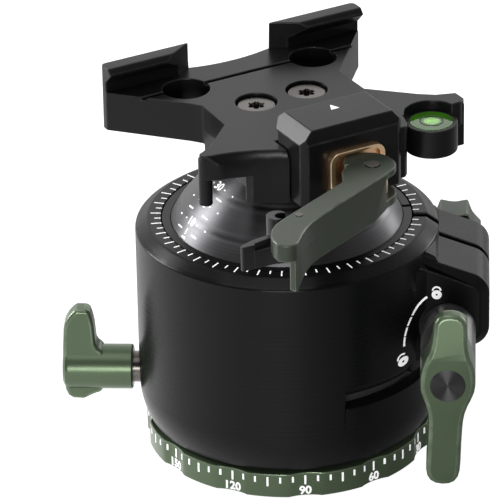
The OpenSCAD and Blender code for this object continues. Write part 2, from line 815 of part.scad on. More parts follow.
module drag_screw() {
    tip = slit_width / 2 + 1;
    color("silver") along_ear(drag_reach, drag_height) translate([0, 0, -drag_start - drag_socket])
        cylinder(r = drag_radius, h = drag_start + drag_socket - tip);
}

// Side view of the pan knob's wing: x is the distance from its inner side, y is height
module wing_side() {
    polygon([[-over, -0.69 * pan_down], [0.1 * pan_wing, -0.74 * pan_down],
             [0.24 * pan_wing, -0.83 * pan_down], [0.37 * pan_wing, -pan_down],
             [0.38 * pan_wing, -pan_down - over], [0.57 * pan_wing, -pan_down - over],
             [0.58 * pan_wing, -pan_down], [0.8 * pan_wing, -0.81 * pan_down],
             [0.93 * pan_wing, -0.53 * pan_down], [pan_wing, -0.16 * pan_down],
             [pan_wing, 0.4 * pan_up], [0.915 * pan_wing, 0.64 * pan_up], [0.58 * pan_wing, pan_up],
             [0.57 * pan_wing, pan_up + over], [0.23 * pan_wing, pan_up + over],
             [0.22 * pan_wing, pan_up], [0.1 * pan_wing, 0.75 * pan_up],
             [0.05 * pan_wing, 0.61 * pan_up], [0, 0.36 * pan_up], [-over, 0.36 * pan_up]]);
}

module wing_outline() {
    paddle_outline(pan_neck + 0.15, pan_arm, pan_arm, pan_up, pan_down, 6);
}

module pan_knob() {
    fillet = 0.3 * pan_neck;
    color("darkolivegreen") at_pan() translate([pan_knob_start, 0, pan_height]) difference() {
        union() {
            rotate([0, 90, 0]) cylinder(r = pan_neck, h = pan_neck_length + 0.5);
            translate([pan_neck_length, 0, 0]) intersection() {
                rotate([90, 0, 90]) linear_extrude(height = pan_wing + over) wing_outline();
                rotate([90, 0, 0]) linear_extrude(height = 4 * pan_neck, center = true) wing_side();
            }
            // fillet between the neck and the upper wing
            translate([pan_neck_length, 0, 0]) intersection() {
                rotate([0, 90, 0]) rotate_extrude() polygon(concat(
                    arc(pan_neck + fillet, -fillet, fillet, 180, 90),
                    [[pan_neck + fillet, 0.4], [pan_neck - 1, 0.4], [pan_neck - 1, -fillet]]));
                translate([-2 * fillet, -pan_arm, 0]) cube([3 * fillet, 2 * pan_arm, pan_up]);
            }
        }
        translate([-over, 0, 0]) rotate([0, 90, 0])
            cylinder(r = pan_screw_radius + seat, h = pan_neck_length + over);
    }
}

module pan_screw() {
    start = drum_radius + 1.6;
    color("silver") at_pan() translate([start, 0, pan_height]) rotate([0, 90, 0])
        cylinder(r = pan_screw_radius, h = pan_knob_start + pan_neck_length - start);
}

// Brass tip of the pan screw, cut to the flanks of the drum's groove
module pan_pad() {
    tip = drum_radius - groove_depth + 0.65;
    color("goldenrod") at_pan() translate([tip, 0, pan_height]) rotate([0, 90, 0])
        cylinder(r1 = 0.4, r2 = drum_radius + 1.6 - tip + 0.4, h = drum_radius + 1.6 - tip);
}

module ball() {
    color("#8a8a8c") difference() {
        union() {
            intersection() {
                translate([0, 0, ball_height]) sphere(r = ball_radius);
                translate([0, 0, ball_height - ball_cut + 50]) cube([100, 100, 100], center = true);
            }
            translate([0, 0, ball_height]) cylinder(r = stem_radius, h = core_bottom - ball_height);
        }
        for (side = [-1, 1]) translate([side * screw_x, screw_y, core_bottom - screw_bite - 1])
            cylinder(r = screw_shank + seat, h = screw_bite + 1 + over);
    }
}

// Right half of the deck's outline behind the waist
function rear_half() = concat(
    [for (i = [0:6]) let (x = post_inner * i / 6)
        [x, jaw_back - scoop_depth * (1 - pow(x / post_inner, 2))]],
    arc(jaw_end - 1, jaw_back - 1, 1, 90, 0, 4),
    [[jaw_end, jaw_back - 2.2], [waist + 1.6, 7.6]],
    arc(waist + 1.5, 4.9, 1.5, 150, 180, 4));

// Tips of the front arms
left_tip = [left_tip_x, 6.8 - front_y];
right_tip = [right_tip_x, 4.6 - front_y];

module deck_outline() {
    rear = rear_half();
    polygon(concat(mirrored(rear), rear));
    // waist and front arms
    polygon(concat(
        [[waist, 5.5], [-waist, 5.5], [-waist - 0.5, -4.5], [-waist - 8, -12]],
        arc(1.2 - left_tip[0], left_tip[1] + 0.8, 1.2, 140, 255, 5),
        [[0.5 - slot_half, -front_y - 2.6], [slot_half - 0.5, -front_y - 2.2],
         [slot_half + 2.1, -front_y - 2.2], [slot_half + 3.1, -front_y - 1.2], [waist, 2.9 - front_y],
         [waist + 4.3, 4.2 - front_y], [right_tip[0] - 4, 2 - front_y], [right_tip[0] - 1.5, 2 - front_y],
         [right_tip[0], right_tip[1] - 1.4], [right_tip[0], right_tip[1] + 1.8],
         [right_tip[0] - 4, right_tip[1] + 3.2], [waist + 8, -12.2], [waist, -4.3]]));
}

// Dovetail post on the right-hand side, nose towards -y
module post() {
    intersection() {
        drawn_x(2 * jaw_end) polygon([
            [jaw_back, deck_height - over], [jaw_back, jaw_top],
            [nose_y + nose_bevel, jaw_top], [nose_y, nose_top], [nose_y, nose_low],
            [nose_y + undercut, undercut_low], [nose_y + undercut, deck_height - over]]);
        translate([0, 0, deck_height - over]) linear_extrude(height = jaw_rise + 2 * over)
            polygon(concat([[post_inner, jaw_back]], arc(jaw_end - 1, jaw_back - 1, 1, 90, 0, 4),
                           [[jaw_end, nose_y - over], [post_inner + 8.7, nose_y - over]]));
    }
}

// Deck with its arms, the core over the ball's stem and the blocks beside the movable jaw
module plate_body() {
    difference() {
        union() {
            translate([0, 0, deck_height - front_arm_depth])
                linear_extrude(height = front_arm_depth) deck_outline();
            translate([0, 0, deck_height - rear_arm_depth]) linear_extrude(height = rear_arm_depth - 1)
                polygon(concat(mirrored(rear_half()), rear_half(), [[waist, -4], [-waist, -4]]));
            translate([0, 0, core_bottom]) linear_extrude(height = core_thickness - 1)
                polygon([[-waist, 5], [-waist, -6], [-waist - 1, -8], [-waist - 1, -17],
                         [0.5 - slot_half, -21.5], [slot_half - 0.5, -21.9], [waist, -20],
                         [waist + 2, -8], [waist, -6], [waist, 5], [waist - 5, 10], [5 - waist, 10]]);
            translate([0, 0, block_low]) linear_extrude(height = deck_height - 1 - block_low) {
                polygon([[0.5 - slot_half, -15.5], [-waist - 1.6, -15.5], [-waist - 3, -17.4],
                         [-waist - 0.6, -22], [0.5 - slot_half, -front_y - 2.6]]);
                polygon([[slot_half - 0.5, -front_y - 2.15], [slot_half + 2, -front_y - 2.15],
                         [slot_half + 3, -front_y - 1.2], [waist + 1, -16], [slot_half - 0.5, -16]]);
            }
        }
        // hollow front edge of the left arm, bevelled along the deck
        translate([curve_x, curve_y, block_low - over])
            cylinder(r = front_curve, h = deck_height - block_low + 2 * over);
        translate([curve_x, curve_y, deck_height - edge_depth])
            cylinder(r1 = front_curve, r2 = front_curve + edge_bevel * (1 + over / edge_depth),
                     h = edge_depth + over);
    }
}

module clamp_plate() {
    level_at = [level_x, -level_y, 0];
    color("#2c2c2c") difference() {
        union() {
            plate_body();
            // claws under the ends of the front arms
            translate([1.3 - left_tip[0], left_tip[1] + 1.1, claw_low])
                cylinder(r = 1.4, h = deck_height - 1 - claw_low);
            translate([right_tip[0] - 1.4, right_tip[1], claw_low + 0.8])
                linear_extrude(height = deck_height - claw_low - 1.8) square([2.8, 3.4], center = true);
            translate(level_at) translate([0, 0, level_bottom])
                cylinder(r = level_radius, h = level_top - level_bottom);
            post();
            mirror([1, 0, 0]) post();
        }
        // slot of the movable jaw
        translate([-slot_half, -60, block_low - over])
            cube([2 * slot_half, 60 - slot_wall, deck_height - block_low + 2 * over]);
        // windows in the rear arms, straight on the side of the posts
        for (side = [-1, 1]) intersection() {
            translate([side * window_x, 14.6, core_bottom - over])
                cylinder(r = window_radius, h = core_thickness + 2 * over);
            translate([-50, 0, core_bottom - over]) cube([100, nose_y + 0.2, core_thickness + 2 * over]);
        }
        translate([-jaw_end, groove_y - 0.45, deck_height - 0.6]) cube([jaw_length, 0.9, 0.6 + over]);
        // recess of the bubble level
        translate(level_at) translate([0, 0, level_top])
            cylinder(r = level_radius + 0.2, h = level_sink + over);
        translate(level_at) translate([0, 0, vial_low])
            cylinder(r = vial_radius + seat, h = level_top - vial_low + over);
        for (side = [-1, 1]) translate([side * screw_x, screw_y, 0]) plate_screw_shape(gap);
        // guide pins, pull rod and its nut
        for (side = [-1, 1]) translate([side * guide_x, 0, rod_height])
            rod_y(guide_radius + seat, -slot_wall - over, -slot_wall + pin_bite);
        translate([0, 0, rod_height]) rod_y(rod_radius + seat, -slot_wall - over, -slot_wall + pin_bite);
        translate([0, 0, rod_height])
            rod_y(rod_radius + nut_wall + seat, -slot_wall - over, -slot_wall + rod_nut_length + 0.1);
    }
}

// A plate screw, or with extra the stepped hole that takes it
module plate_screw_shape(extra = 0) {
    head_top = deck_height - screw_sink;
    low = extra > 0 ? core_bottom - over : core_bottom - screw_bite;
    translate([0, 0, low]) cylinder(r = screw_shank + (extra > 0 ? seat : 0), h = head_top - 1 - low);
    translate([0, 0, head_top - screw_head_height])
        cylinder(r = screw_head + extra * 2, h = screw_head_height + (extra > 0 ? screw_sink + over : 0));
}

// Six-lobed socket of a screw head
module star_socket(r) {
    circle(r = 0.72 * r);
    for (i = [0:5]) rotate([0, 0, i * 60]) translate([0.72 * r, 0]) circle(r = 0.28 * r);
}

module plate_screws() {
    color("silver") for (side = [-1, 1]) translate([side * screw_x, screw_y, 0]) difference() {
        plate_screw_shape();
        translate([0, 0, deck_height - screw_sink - 0.36 * screw_head])
            linear_extrude(height = screw_head) star_socket(0.45 * screw_head);
    }
}

module guide_pins() {
    color("silver") for (side = [-1, 1]) translate([side * guide_x, 0, rod_height])
        rod_y(guide_radius, -frame_seat + 1, -slot_wall + pin_bite - gap);
}

module pull_rod() {
    color("#b87a55") difference() {
        union() {
            translate([0, 0, rod_height]) rod_y(rod_radius, -pivot_y + 1, -slot_wall + pin_bite - 0.5);
            translate([0, -pivot_y, rod_height - eye_half]) cylinder(r = eye_radius, h = 2 * eye_half);
        }
        translate([0, -pivot_y, rod_height - eye_half - over])
            cylinder(r = cam_pin_radius + run, h = 2 * eye_half + 2 * over);
    }
}

module rod_nut() {
    color("silver") translate([0, 0, rod_height]) difference() {
        rod_y(rod_radius + nut_wall, -slot_wall, -slot_wall + rod_nut_length);
        rod_y(rod_radius + seat, -slot_wall - over, -slot_wall + rod_nut_length + over);
    }
}

module movable_jaw() {
    low = frame_height / 2;
    color("#2c2c2c") difference() {
        intersection() {
            drawn_x(2 * jaw_half) polygon([
                [-jaw_rear, jaw_bottom], [-jaw_rear, undercut_low], [-jaw_nose, nose_low],
                [-jaw_nose, nose_top], [-jaw_nose - nose_bevel, jaw_top], [0.6 - jaw_front, jaw_top],
                [0.3 - jaw_front, jaw_top - jaw_bevel_z + 0.3], [-jaw_front, jaw_top - jaw_bevel_z],
                [-jaw_front, jaw_bottom]]);
            translate([0, over - jaw_nose, 0]) rotate([90, 0, 0]) linear_extrude(height = jaw_front)
                polygon([[-jaw_half, jaw_bottom], [jaw_half, jaw_bottom], [jaw_half, jaw_top - jaw_bevel_z],
                         [jaw_half - jaw_bevel_x, jaw_top], [jaw_bevel_x - jaw_half, jaw_top],
                         [-jaw_half, jaw_top - jaw_bevel_z]]);
        }
        for (side = [-1, 1]) translate([side * jaw_half, -jaw_front, jaw_bottom]) rotate([0, 0, 45])
            cube([jaw_corner * sqrt(2), jaw_corner * sqrt(2), 60], center = true);
        translate([0, -frame_seat, rod_height]) rotate([90, 0, 0]) linear_extrude(height = 8)
            rounded_rect(frame_half + seat, low + seat, frame_corner);
        translate([0, 0, rod_height]) rod_y(rod_radius + 0.3, -jaw_front, over - jaw_rear);
        translate([0, 0, rod_height]) rod_y(spring_outer + 0.1, -jaw_rear - spring_seat, over - jaw_rear);
        for (side = [-1, 1]) translate([side * guide_x, 0, rod_height])
            rod_y(guide_radius + run, -frame_seat - 1.2, over - jaw_rear);
    }
}

module cam_frame() {
    half = frame_height / 2;
    color("#b87a55") difference() {
        translate([0, -frame_seat, rod_height]) rotate([90, 0, 0])
            linear_extrude(height = frame_face - frame_seat) rounded_rect(frame_half, half, frame_corner);
        translate([0, -frame_floor, rod_height]) rotate([90, 0, 0]) linear_extrude(height = 8)
            rounded_rect(frame_half - frame_wall, half - frame_wall * 0.6, frame_corner - 0.8);
        translate([0, 0, rod_height]) rod_y(rod_radius + 0.4, -frame_face - over, over - frame_seat);
        for (side = [-1, 1]) translate([side * guide_x, 0, rod_height])
            rod_y(guide_radius + run, -frame_seat - 1.2, over - frame_seat);
    }
}

module jaw_spring() {
    color("silver") translate([0, 0, rod_height]) difference() {
        rod_y(spring_outer, -jaw_rear - spring_seat, -slot_wall);
        rod_y(rod_radius + gap, -jaw_rear - spring_seat - over, over - slot_wall);
    }
}

// Cam radius that bears on the frame when the lever stands at an opening angle; past the closed
// position the nose of the cam falls back towards the arm
function cam_reach(open) =
    cam_radius - cam_rise * max(open, -cam_open_angle) * PI / 180
    - cam_nose_fall * max(0, -cam_open_angle - open) / cam_nose_sweep;

// Outline of the cam from its nose to the open stop, in the lever's frame
function cam_points() =
    [for (i = [0:26]) let (open = -cam_open_angle - cam_nose_sweep
                                  + (cam_travel + cam_open_angle + cam_nose_sweep) * i / 26,
                           a = -90 - open - cam_open_angle) cam_reach(open) * [cos(a), sin(a)]];

module cam_lever() {
    hub = cam_radius - cam_rise * cam_travel * PI / 180 - 0.1;
    end = cam_length;
    arm_front = 4.8;
    arm_foot = 6.4;
    tab_front = 7.5;
    flare = 11;
    color("darkolivegreen") at_cam() difference() {
        union() {
            translate([0, 0, cam_low]) linear_extrude(height = cam_depth) {
                polygon(concat([[0, 0]], cam_points()));
                circle(r = hub);
                polygon([[0, -hub], [6, -3.2], [9.5, -0.4], [9.5, arm_front], [0, hub]]);
            }
            // arm with a sloping front and a round end
            intersection() {
                rotate([90, 0, 90]) linear_extrude(height = end + 4)
                    polygon([[-0.4, cam_low], [arm_foot, cam_low], [arm_front, cam_top], [-0.4, cam_top]]);
                translate([0, 0, cam_low - over]) linear_extrude(height = cam_depth + 2 * over)
                    polygon(concat([[2, -0.6], [end - 5, -0.6]], arc(end - 3.4, 3.4, 4, -110, 0, 8),
                                   [[end + 0.6, 8], [9, arm_foot + 0.1], [0.5, hub - 0.2]]));
            }
            // thumb tab: the front flares out at the end and hangs down as a fin
            intersection() {
                translate([0, 0, cam_low - 6]) linear_extrude(height = cam_depth + 8)
                    polygon(concat([[end + 0.65, arm_front - 0.1], [end + 0.85, tab_front]],
                                   arc(end - 9, arm_front - 0.6 + flare, flare, -44.4, -72.6)));
                translate([0, tab_front + over, 0]) rotate([90, 0, 0]) linear_extrude(height = 6)
                    polygon(concat([[end + 2, cam_top], [end - 8, cam_top], [end - 8, cam_low],
                                    [end - 6, cam_low], [end - 4.2, cam_low - 0.5],
                                    [end - 2.7, cam_low - 1.5]],
                                   arc(end - 0.5, cam_low - 2.7, 1.3, 180, 360),
                                   [[end + 2, cam_low - 2]]));
            }
        }
        translate([0, 0, cam_low - over]) cylinder(r = cam_pin_radius + seat, h = cam_depth + 2 * over);
        // fork round the eye of the pull rod
        translate([-12, -12, rod_height - fork_half]) cube([12 + rod_radius + gap, 24, 2 * fork_half]);
        translate([0, 0, rod_height - fork_half]) cylinder(r = eye_radius + 0.35, h = 2 * fork_half);
        // pocket for the latch, open to the rear and the end
        translate([latch_x - 5, -over, cam_low - over])
            cube([end, 4.6 + over, latch_top + 0.2 - cam_low + over]);
        translate([latch_x, latch_y, cam_low]) cylinder(r = latch_pin_radius + seat, h = cam_depth + over);
    }
}

module cam_pin() {
    color("silver") at_cam() translate([0, 0, cam_low + 0.1]) cylinder(r = cam_pin_radius, h = cam_depth);
}

module latch_pin() {
    color("silver") at_cam() translate([latch_x, latch_y, cam_low + 0.3])
        cylinder(r = latch_pin_radius, h = cam_depth - 0.2);
}

module safety_latch() {
    thumb = latch_length;
    hub = latch_half;
    hook = hook_radius;
    color("#1c1c1c") at_cam() translate([latch_x, latch_y, latch_low])
        rotate([0, 0, -cam_open_angle]) difference() {
            union() {
                linear_extrude(height = latch_depth) {
                    circle(r = hub);
                    polygon([[0, -hub], [0.9 * thumb, -1.6 * hub], [0.985 * thumb, -1.4 * hub],
                             [thumb, 0.6 * hub], [0.94 * thumb, 0.8 * hub], [0, 0.8 * hub]]);
                    polygon([[-hub, 0], [-0.8 * hub, -1.3 * hook], [0.5 * hub, -1.75 * hook], [hub, 0]]);
                }
                // hook, open towards the jaw
                linear_extrude(height = latch_depth - 1) difference() {
                    translate([-0.53 * hook, -1.88 * hook]) circle(r = hook);
                    translate([-0.7 * hook, -1.76 * hook]) circle(r = 0.56 * hook);
                    translate([-1.88 * hook, -2.12 * hook]) square(1.18 * hook);
                }
            }
            translate([0, 0, -over]) cylinder(r = latch_pin_radius + run, h = latch_depth + 2 * over);
            translate([0, 0, latch_depth - 1.2]) cylinder(r = latch_pin_radius + 0.7, h = 2);
        }
}

module latch_spring() {
    color("silver") at_cam() translate([latch_x, latch_y, latch_top - 0.8]) difference() {
        cylinder(r = latch_pin_radius + 0.6, h = 0.7);
        translate([0, 0, -over]) cylinder(r = latch_pin_radius + run, h = 3);
    }
}

module level_vial() {
    color("yellowgreen") translate([level_x, -level_y, vial_low])
        cylinder(r = vial_radius, h = level_top - vial_low - window_height);
}

module level_window() {
    color("greenyellow") translate([level_x, -level_y, level_top - window_height])
        cylinder(r = vial_radius, h = window_height);
}

base_ring();
base_plate();
socket_bush();
base_screws();
pan_drum();
thrust_washer();
housing();
bearing_ring();
collet_ring();
seat_spring();
lock_nut();
lock_lever();
lever_neck();
lever_cap();
lock_bolt();
neck_washer();
drag_knob();
drag_screw();
pan_knob();
pan_screw();
pan_pad();
ball_seat();
ball();
clamp_plate();
plate_screws();
guide_pins();
pull_rod();
rod_nut();
level_vial();
level_window();
movable_jaw();
cam_frame();
jaw_spring();
cam_lever();
cam_pin();
latch_pin();
safety_latch();
latch_spring();
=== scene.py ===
# %% [markdown]
# A ball head for a tripod: a black housing that holds a ball, a clamp with a lever on top of the ball,
# and green levers and knobs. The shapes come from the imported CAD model, so this lesson is about looks:
# camera, light, finishes, softened edges, and the printed signs that the solids don't carry.

# %% Load the frame
import json
import math

import bmesh
import bpy
from mathutils import Matrix, Vector


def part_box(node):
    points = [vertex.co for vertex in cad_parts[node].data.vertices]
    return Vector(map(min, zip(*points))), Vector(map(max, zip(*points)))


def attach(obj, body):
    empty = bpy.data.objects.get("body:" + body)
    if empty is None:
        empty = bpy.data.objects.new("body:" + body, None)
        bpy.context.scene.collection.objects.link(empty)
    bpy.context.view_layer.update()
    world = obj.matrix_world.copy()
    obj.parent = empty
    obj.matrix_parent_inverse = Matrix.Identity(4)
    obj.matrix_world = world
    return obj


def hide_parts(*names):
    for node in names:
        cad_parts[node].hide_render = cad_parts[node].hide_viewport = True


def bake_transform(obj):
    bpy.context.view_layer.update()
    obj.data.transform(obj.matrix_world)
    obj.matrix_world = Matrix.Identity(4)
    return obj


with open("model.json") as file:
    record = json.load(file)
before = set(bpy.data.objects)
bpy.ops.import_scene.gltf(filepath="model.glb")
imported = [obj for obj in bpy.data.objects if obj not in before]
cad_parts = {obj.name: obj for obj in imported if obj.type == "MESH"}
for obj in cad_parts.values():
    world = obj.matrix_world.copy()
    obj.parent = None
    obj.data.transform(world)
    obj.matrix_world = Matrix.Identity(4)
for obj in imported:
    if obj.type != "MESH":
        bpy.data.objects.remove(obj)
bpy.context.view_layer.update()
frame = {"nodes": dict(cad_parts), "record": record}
nodes = frame["nodes"]
MM = 0.001

# %% [markdown]
# The photograph was taken from far away with a long lens, a little above the rim. The lens and the place
# were worked out from circles whose real size is known, the two degree scales. A long lens keeps the
# verticals nearly parallel, which a short lens close by would not. The view transform is Standard, so that
# a colour comes out as it is written.

# %% Camera
SENSOR = 36
LENS = 321.8
CAMERA_PLACE = (-0.406603, -0.718783, 0.459130)
CAMERA_TURN = (63.196, 0.9551, -29.4425)
scene = bpy.context.scene
camera_data = bpy.data.cameras.new("camera")
camera_data.sensor_fit = "HORIZONTAL"
camera_data.sensor_width = SENSOR
camera_data.lens = LENS
camera_data.clip_start = 0.05
camera = bpy.data.objects.new("camera", camera_data)
camera.location = CAMERA_PLACE
camera.rotation_euler = [math.radians(a) for a in CAMERA_TURN]
scene.collection.objects.link(camera)
scene.camera = camera
scene.view_settings.view_transform = "Standard"
print("camera", round(camera.location.length, 3), "m away")

# %% [markdown]
# Node trees come up in every step from here on, so three small helpers come first. One joins two sockets,
# one does one sum, with a socket or a plain number on each side, and one stretches a range of values onto
# another range.


# %% Helpers for node trees
def link(tree, source, target):
    """Joins two sockets given as (node, socket name or index)."""
    tree.links.new(source[0].outputs[source[1]], target[0].inputs[target[1]])


def sum_of(tree, operation, first, second):
    """One Math node; each side is a socket or a number."""
    node = tree.nodes.new("ShaderNodeMath")
    node.operation = operation
    for index, side in enumerate((first, second)):
        if isinstance(side, tuple):
            link(tree, side, (node, index))
        else:
            node.inputs[index].default_value = side
    return node, 0


def spread(tree, value, low, high, to_low, to_high):
    """A Map Range node: low..high becomes to_low..to_high."""
    node = tree.nodes.new("ShaderNodeMapRange")
    for socket, number in zip(("From Min", "From Max", "To Min", "To Max"), (low, high, to_low, to_high)):
        node.inputs[socket].default_value = number
    link(tree, value, (node, "Value"))
    return node, "Result"


print("helpers ready")

# %% [markdown]
# A product table is a pale sheet under soft light. The world looks white to the camera, through glass and
# in reflections, which the Light Path node tells apart, while it gives the object only a plain amount of
# light. In reflections it fades on the camera's own side, as a dark studio does: black metal shows its
# shape by what it mirrors, and a room that is white all round would turn it flat grey.

# %% World
TO_CAMERA = (-0.492, -0.870, 0.0)
ROOM_LIGHT = (0.12, 0.6)
MIRRORED_ROOM = (0.0, 1.7)
world = bpy.data.worlds.new("studio")
world.use_nodes = True
scene.world = world
tree = world.node_tree
tree.nodes.clear()
world_out = tree.nodes.new("ShaderNodeOutputWorld")
room = tree.nodes.new("ShaderNodeBackground")
room.inputs["Color"].default_value = (1, 1, 1, 1)
path = tree.nodes.new("ShaderNodeLightPath")
where = tree.nodes.new("ShaderNodeTexCoord")
facing = tree.nodes.new("ShaderNodeVectorMath")
facing.operation = "DOT_PRODUCT"
facing.inputs[1].default_value = TO_CAMERA
link(tree, (where, "Generated"), (facing, 0))
level_of_room = spread(tree, (facing, "Value"), 0.9, -0.3, *ROOM_LIGHT)
mirrored = spread(tree, (facing, "Value"), 0.2, -0.6, *MIRRORED_ROOM)
glossy = sum_of(tree, "MULTIPLY", (path, "Is Glossy Ray"), mirrored)
plain = sum_of(tree, "MAXIMUM", (path, "Is Camera Ray"), (path, "Is Transmission Ray"))
lit = sum_of(tree, "MAXIMUM", level_of_room, glossy)
link(tree, sum_of(tree, "MAXIMUM", plain, lit), (room, "Strength"))
link(tree, (room, "Background"), (world_out, "Surface"))
print("world", len(tree.nodes), "nodes")

# %% [markdown]
# The floor is a wide disc. Part of what the camera sees of it is its own white glow and part is light that
# falls on it, so it looks white in the open and keeps a faint shadow under the base. Upright walls mirror
# the sheet, not the room, so its glow in mirrors is strong on the left and fades to the right.


# %% Floor
def mesh_piece(name, bm, *materials):
    """A new object at the origin from a bmesh, with its place in its mesh."""
    mesh = bpy.data.meshes.new(name)
    bm.to_mesh(mesh)
    bm.free()
    for material in materials:
        mesh.materials.append(material)
    piece = bpy.data.objects.new(name, mesh)
    scene.collection.objects.link(piece)
    return piece


FLOOR_RADIUS = 3
FLOOR_DROP = 0.2 * MM
SHEET_GREY = 0.32
SHEET_GLOW = 0.9
TO_LEFT = (-0.996, 0.087, 0)
MIRRORED_SHEET = (0.1, 1.7)
floor_sheet = bpy.data.materials.new("floor_sheet")
floor_sheet.use_nodes = True
tree = floor_sheet.node_tree
sheet = tree.nodes["Principled BSDF"]
sheet.inputs["Base Color"].default_value = (SHEET_GREY, SHEET_GREY, SHEET_GREY, 1)
sheet.inputs["Roughness"].default_value = 0.95
sheet.inputs["Specular IOR Level"].default_value = 0
sheet.inputs["Emission Color"].default_value = (1, 1, 1, 1)
path = tree.nodes.new("ShaderNodeLightPath")
plain = sum_of(tree, "MAXIMUM", (path, "Is Camera Ray"), (path, "Is Transmission Ray"))
where = tree.nodes.new("ShaderNodeTexCoord")
outwards = tree.nodes.new("ShaderNodeVectorMath")
outwards.operation = "NORMALIZE"
link(tree, (where, "Object"), (outwards, 0))
to_left = tree.nodes.new("ShaderNodeVectorMath")
to_left.operation = "DOT_PRODUCT"
to_left.inputs[1].default_value = TO_LEFT
link(tree, (outwards, 0), (to_left, 0))
side_glow = spread(tree, (to_left, "Value"), -0.2, 1.0, *MIRRORED_SHEET)
seen = sum_of(tree, "MAXIMUM", plain, sum_of(tree, "MULTIPLY", (path, "Is Glossy Ray"), side_glow))
link(tree, sum_of(tree, "MULTIPLY", seen, SHEET_GLOW), (sheet, "Emission Strength"))
bm = bmesh.new()
bmesh.ops.create_circle(bm, cap_ends=True, segments=64, radius=FLOOR_RADIUS)
bmesh.ops.translate(bm, verts=bm.verts, vec=(0, 0, -FLOOR_DROP))
floor = mesh_piece("floor", bm, floor_sheet)
print("floor", [round(c, 2) for c in floor.dimensions])

# %% [markdown]
# Four large soft lamps: two tall ones at the sides draw the long highlights down the round housing, a low
# one in front wakes the green levers, and a wide one overhead lights the deck. A lamp's size sets how soft
# its highlight is.


# %% Lamps
def soft_lamp(name, place, aim, size, power):
    """An area lamp at place that looks at aim."""
    data = bpy.data.lights.new(name, "AREA")
    data.shape = "RECTANGLE"
    data.size, data.size_y = size
    data.energy = power
    lamp = bpy.data.objects.new(name, data)
    lamp.location = place
    lamp.rotation_euler = (Vector(aim) - Vector(place)).to_track_quat("-Z", "Y").to_euler()
    scene.collection.objects.link(lamp)
    print(name, power, "W")


soft_lamp("left_box", (-0.5, 0.6, 0.36), (0, 0, 0.045), (0.3, 0.5), 9)
soft_lamp("right_box", (0.78, 0.1, 0.2), (0, 0, 0.045), (0.25, 0.4), 1.6)
soft_lamp("front_box", (-0.62, -0.9, 0.25), (0.03, -0.03, 0.04), (0.5, 0.25), 8)
soft_lamp("top_box", (-0.2, -0.1, 0.9), (0, 0, 0.05), (0.7, 0.5), 2.5)

# %% [markdown]
# Nearly every metal piece of the head is blasted with fine beads and then anodised. That leaves a grain of
# about a fifth of a millimetre and slow patches where the dye took a little more or less. Both belong to
# several finishes, so they are one node group: it puts out a colour, a roughness and a height.


# %% Grain of blasted metal
def node_group(name, takes, gives):
    """An empty shader group with named sockets, each (name, type, default)."""
    group = bpy.data.node_groups.new(name, "ShaderNodeTree")
    for socket, kind, value in takes:
        entry = group.interface.new_socket(socket, in_out="INPUT", socket_type="NodeSocket" + kind)
        entry.default_value = value
    for socket, kind in gives:
        group.interface.new_socket(socket, in_out="OUTPUT", socket_type="NodeSocket" + kind)
    return group, group.nodes.new("NodeGroupInput"), group.nodes.new("NodeGroupOutput")


def noise(tree, place, scale, detail):
    """A noise of scale per metre, read at place."""
    node = tree.nodes.new("ShaderNodeTexNoise")
    node.inputs["Detail"].default_value = detail
    if isinstance(scale, tuple):
        link(tree, scale, (node, "Scale"))
    else:
        node.inputs["Scale"].default_value = scale
    link(tree, place, (node, "Vector"))
    return node, "Fac"


def shaded(tree, colour, shade):
    """A colour socket times a grey value."""
    node = tree.nodes.new("ShaderNodeMix")
    node.data_type = "RGBA"
    node.blend_type = "MULTIPLY"
    node.inputs[0].default_value = 1
    link(tree, colour, (node, 6))
    link(tree, shade, (node, 7))
    return node, 2


BEAD_SHARE = 0.2
PATCHES_PER_M = 70
PATCH_SHARE = 0.3
DULL_SHARE = 0.4
CORE = (0.3, 0.7)  # where nearly all values of a noise lie
blasted, given, made = node_group(
    "blasted_grain",
    [("Colour", "Color", (0.5, 0.5, 0.5, 1)), ("Roughness", "Float", 0.4), ("Fine", "Float", 5000.0)],
    [("Colour", "Color"), ("Roughness", "Float"), ("Height", "Float")])
where = blasted.nodes.new("ShaderNodeTexCoord")
beads = noise(blasted, (where, "Object"), (given, "Fine"), 2)
patches = noise(blasted, (where, "Object"), PATCHES_PER_M, 3)
bead_part = sum_of(blasted, "MULTIPLY", sum_of(blasted, "SUBTRACT", beads, 0.5), BEAD_SHARE)
patch_part = sum_of(blasted, "MULTIPLY", sum_of(blasted, "SUBTRACT", patches, 0.5), PATCH_SHARE)
both = sum_of(blasted, "ADD", bead_part, patch_part)
link(blasted, shaded(blasted, (given, "Colour"), sum_of(blasted, "ADD", both, 1.0)), (made, "Colour"))
dull = sum_of(blasted, "MULTIPLY", both, DULL_SHARE)
link(blasted, sum_of(blasted, "ADD", dull, (given, "Roughness")), (made, "Roughness"))
link(blasted, beads, (made, "Height"))
print("group", blasted.name, len(blasted.nodes), "nodes")
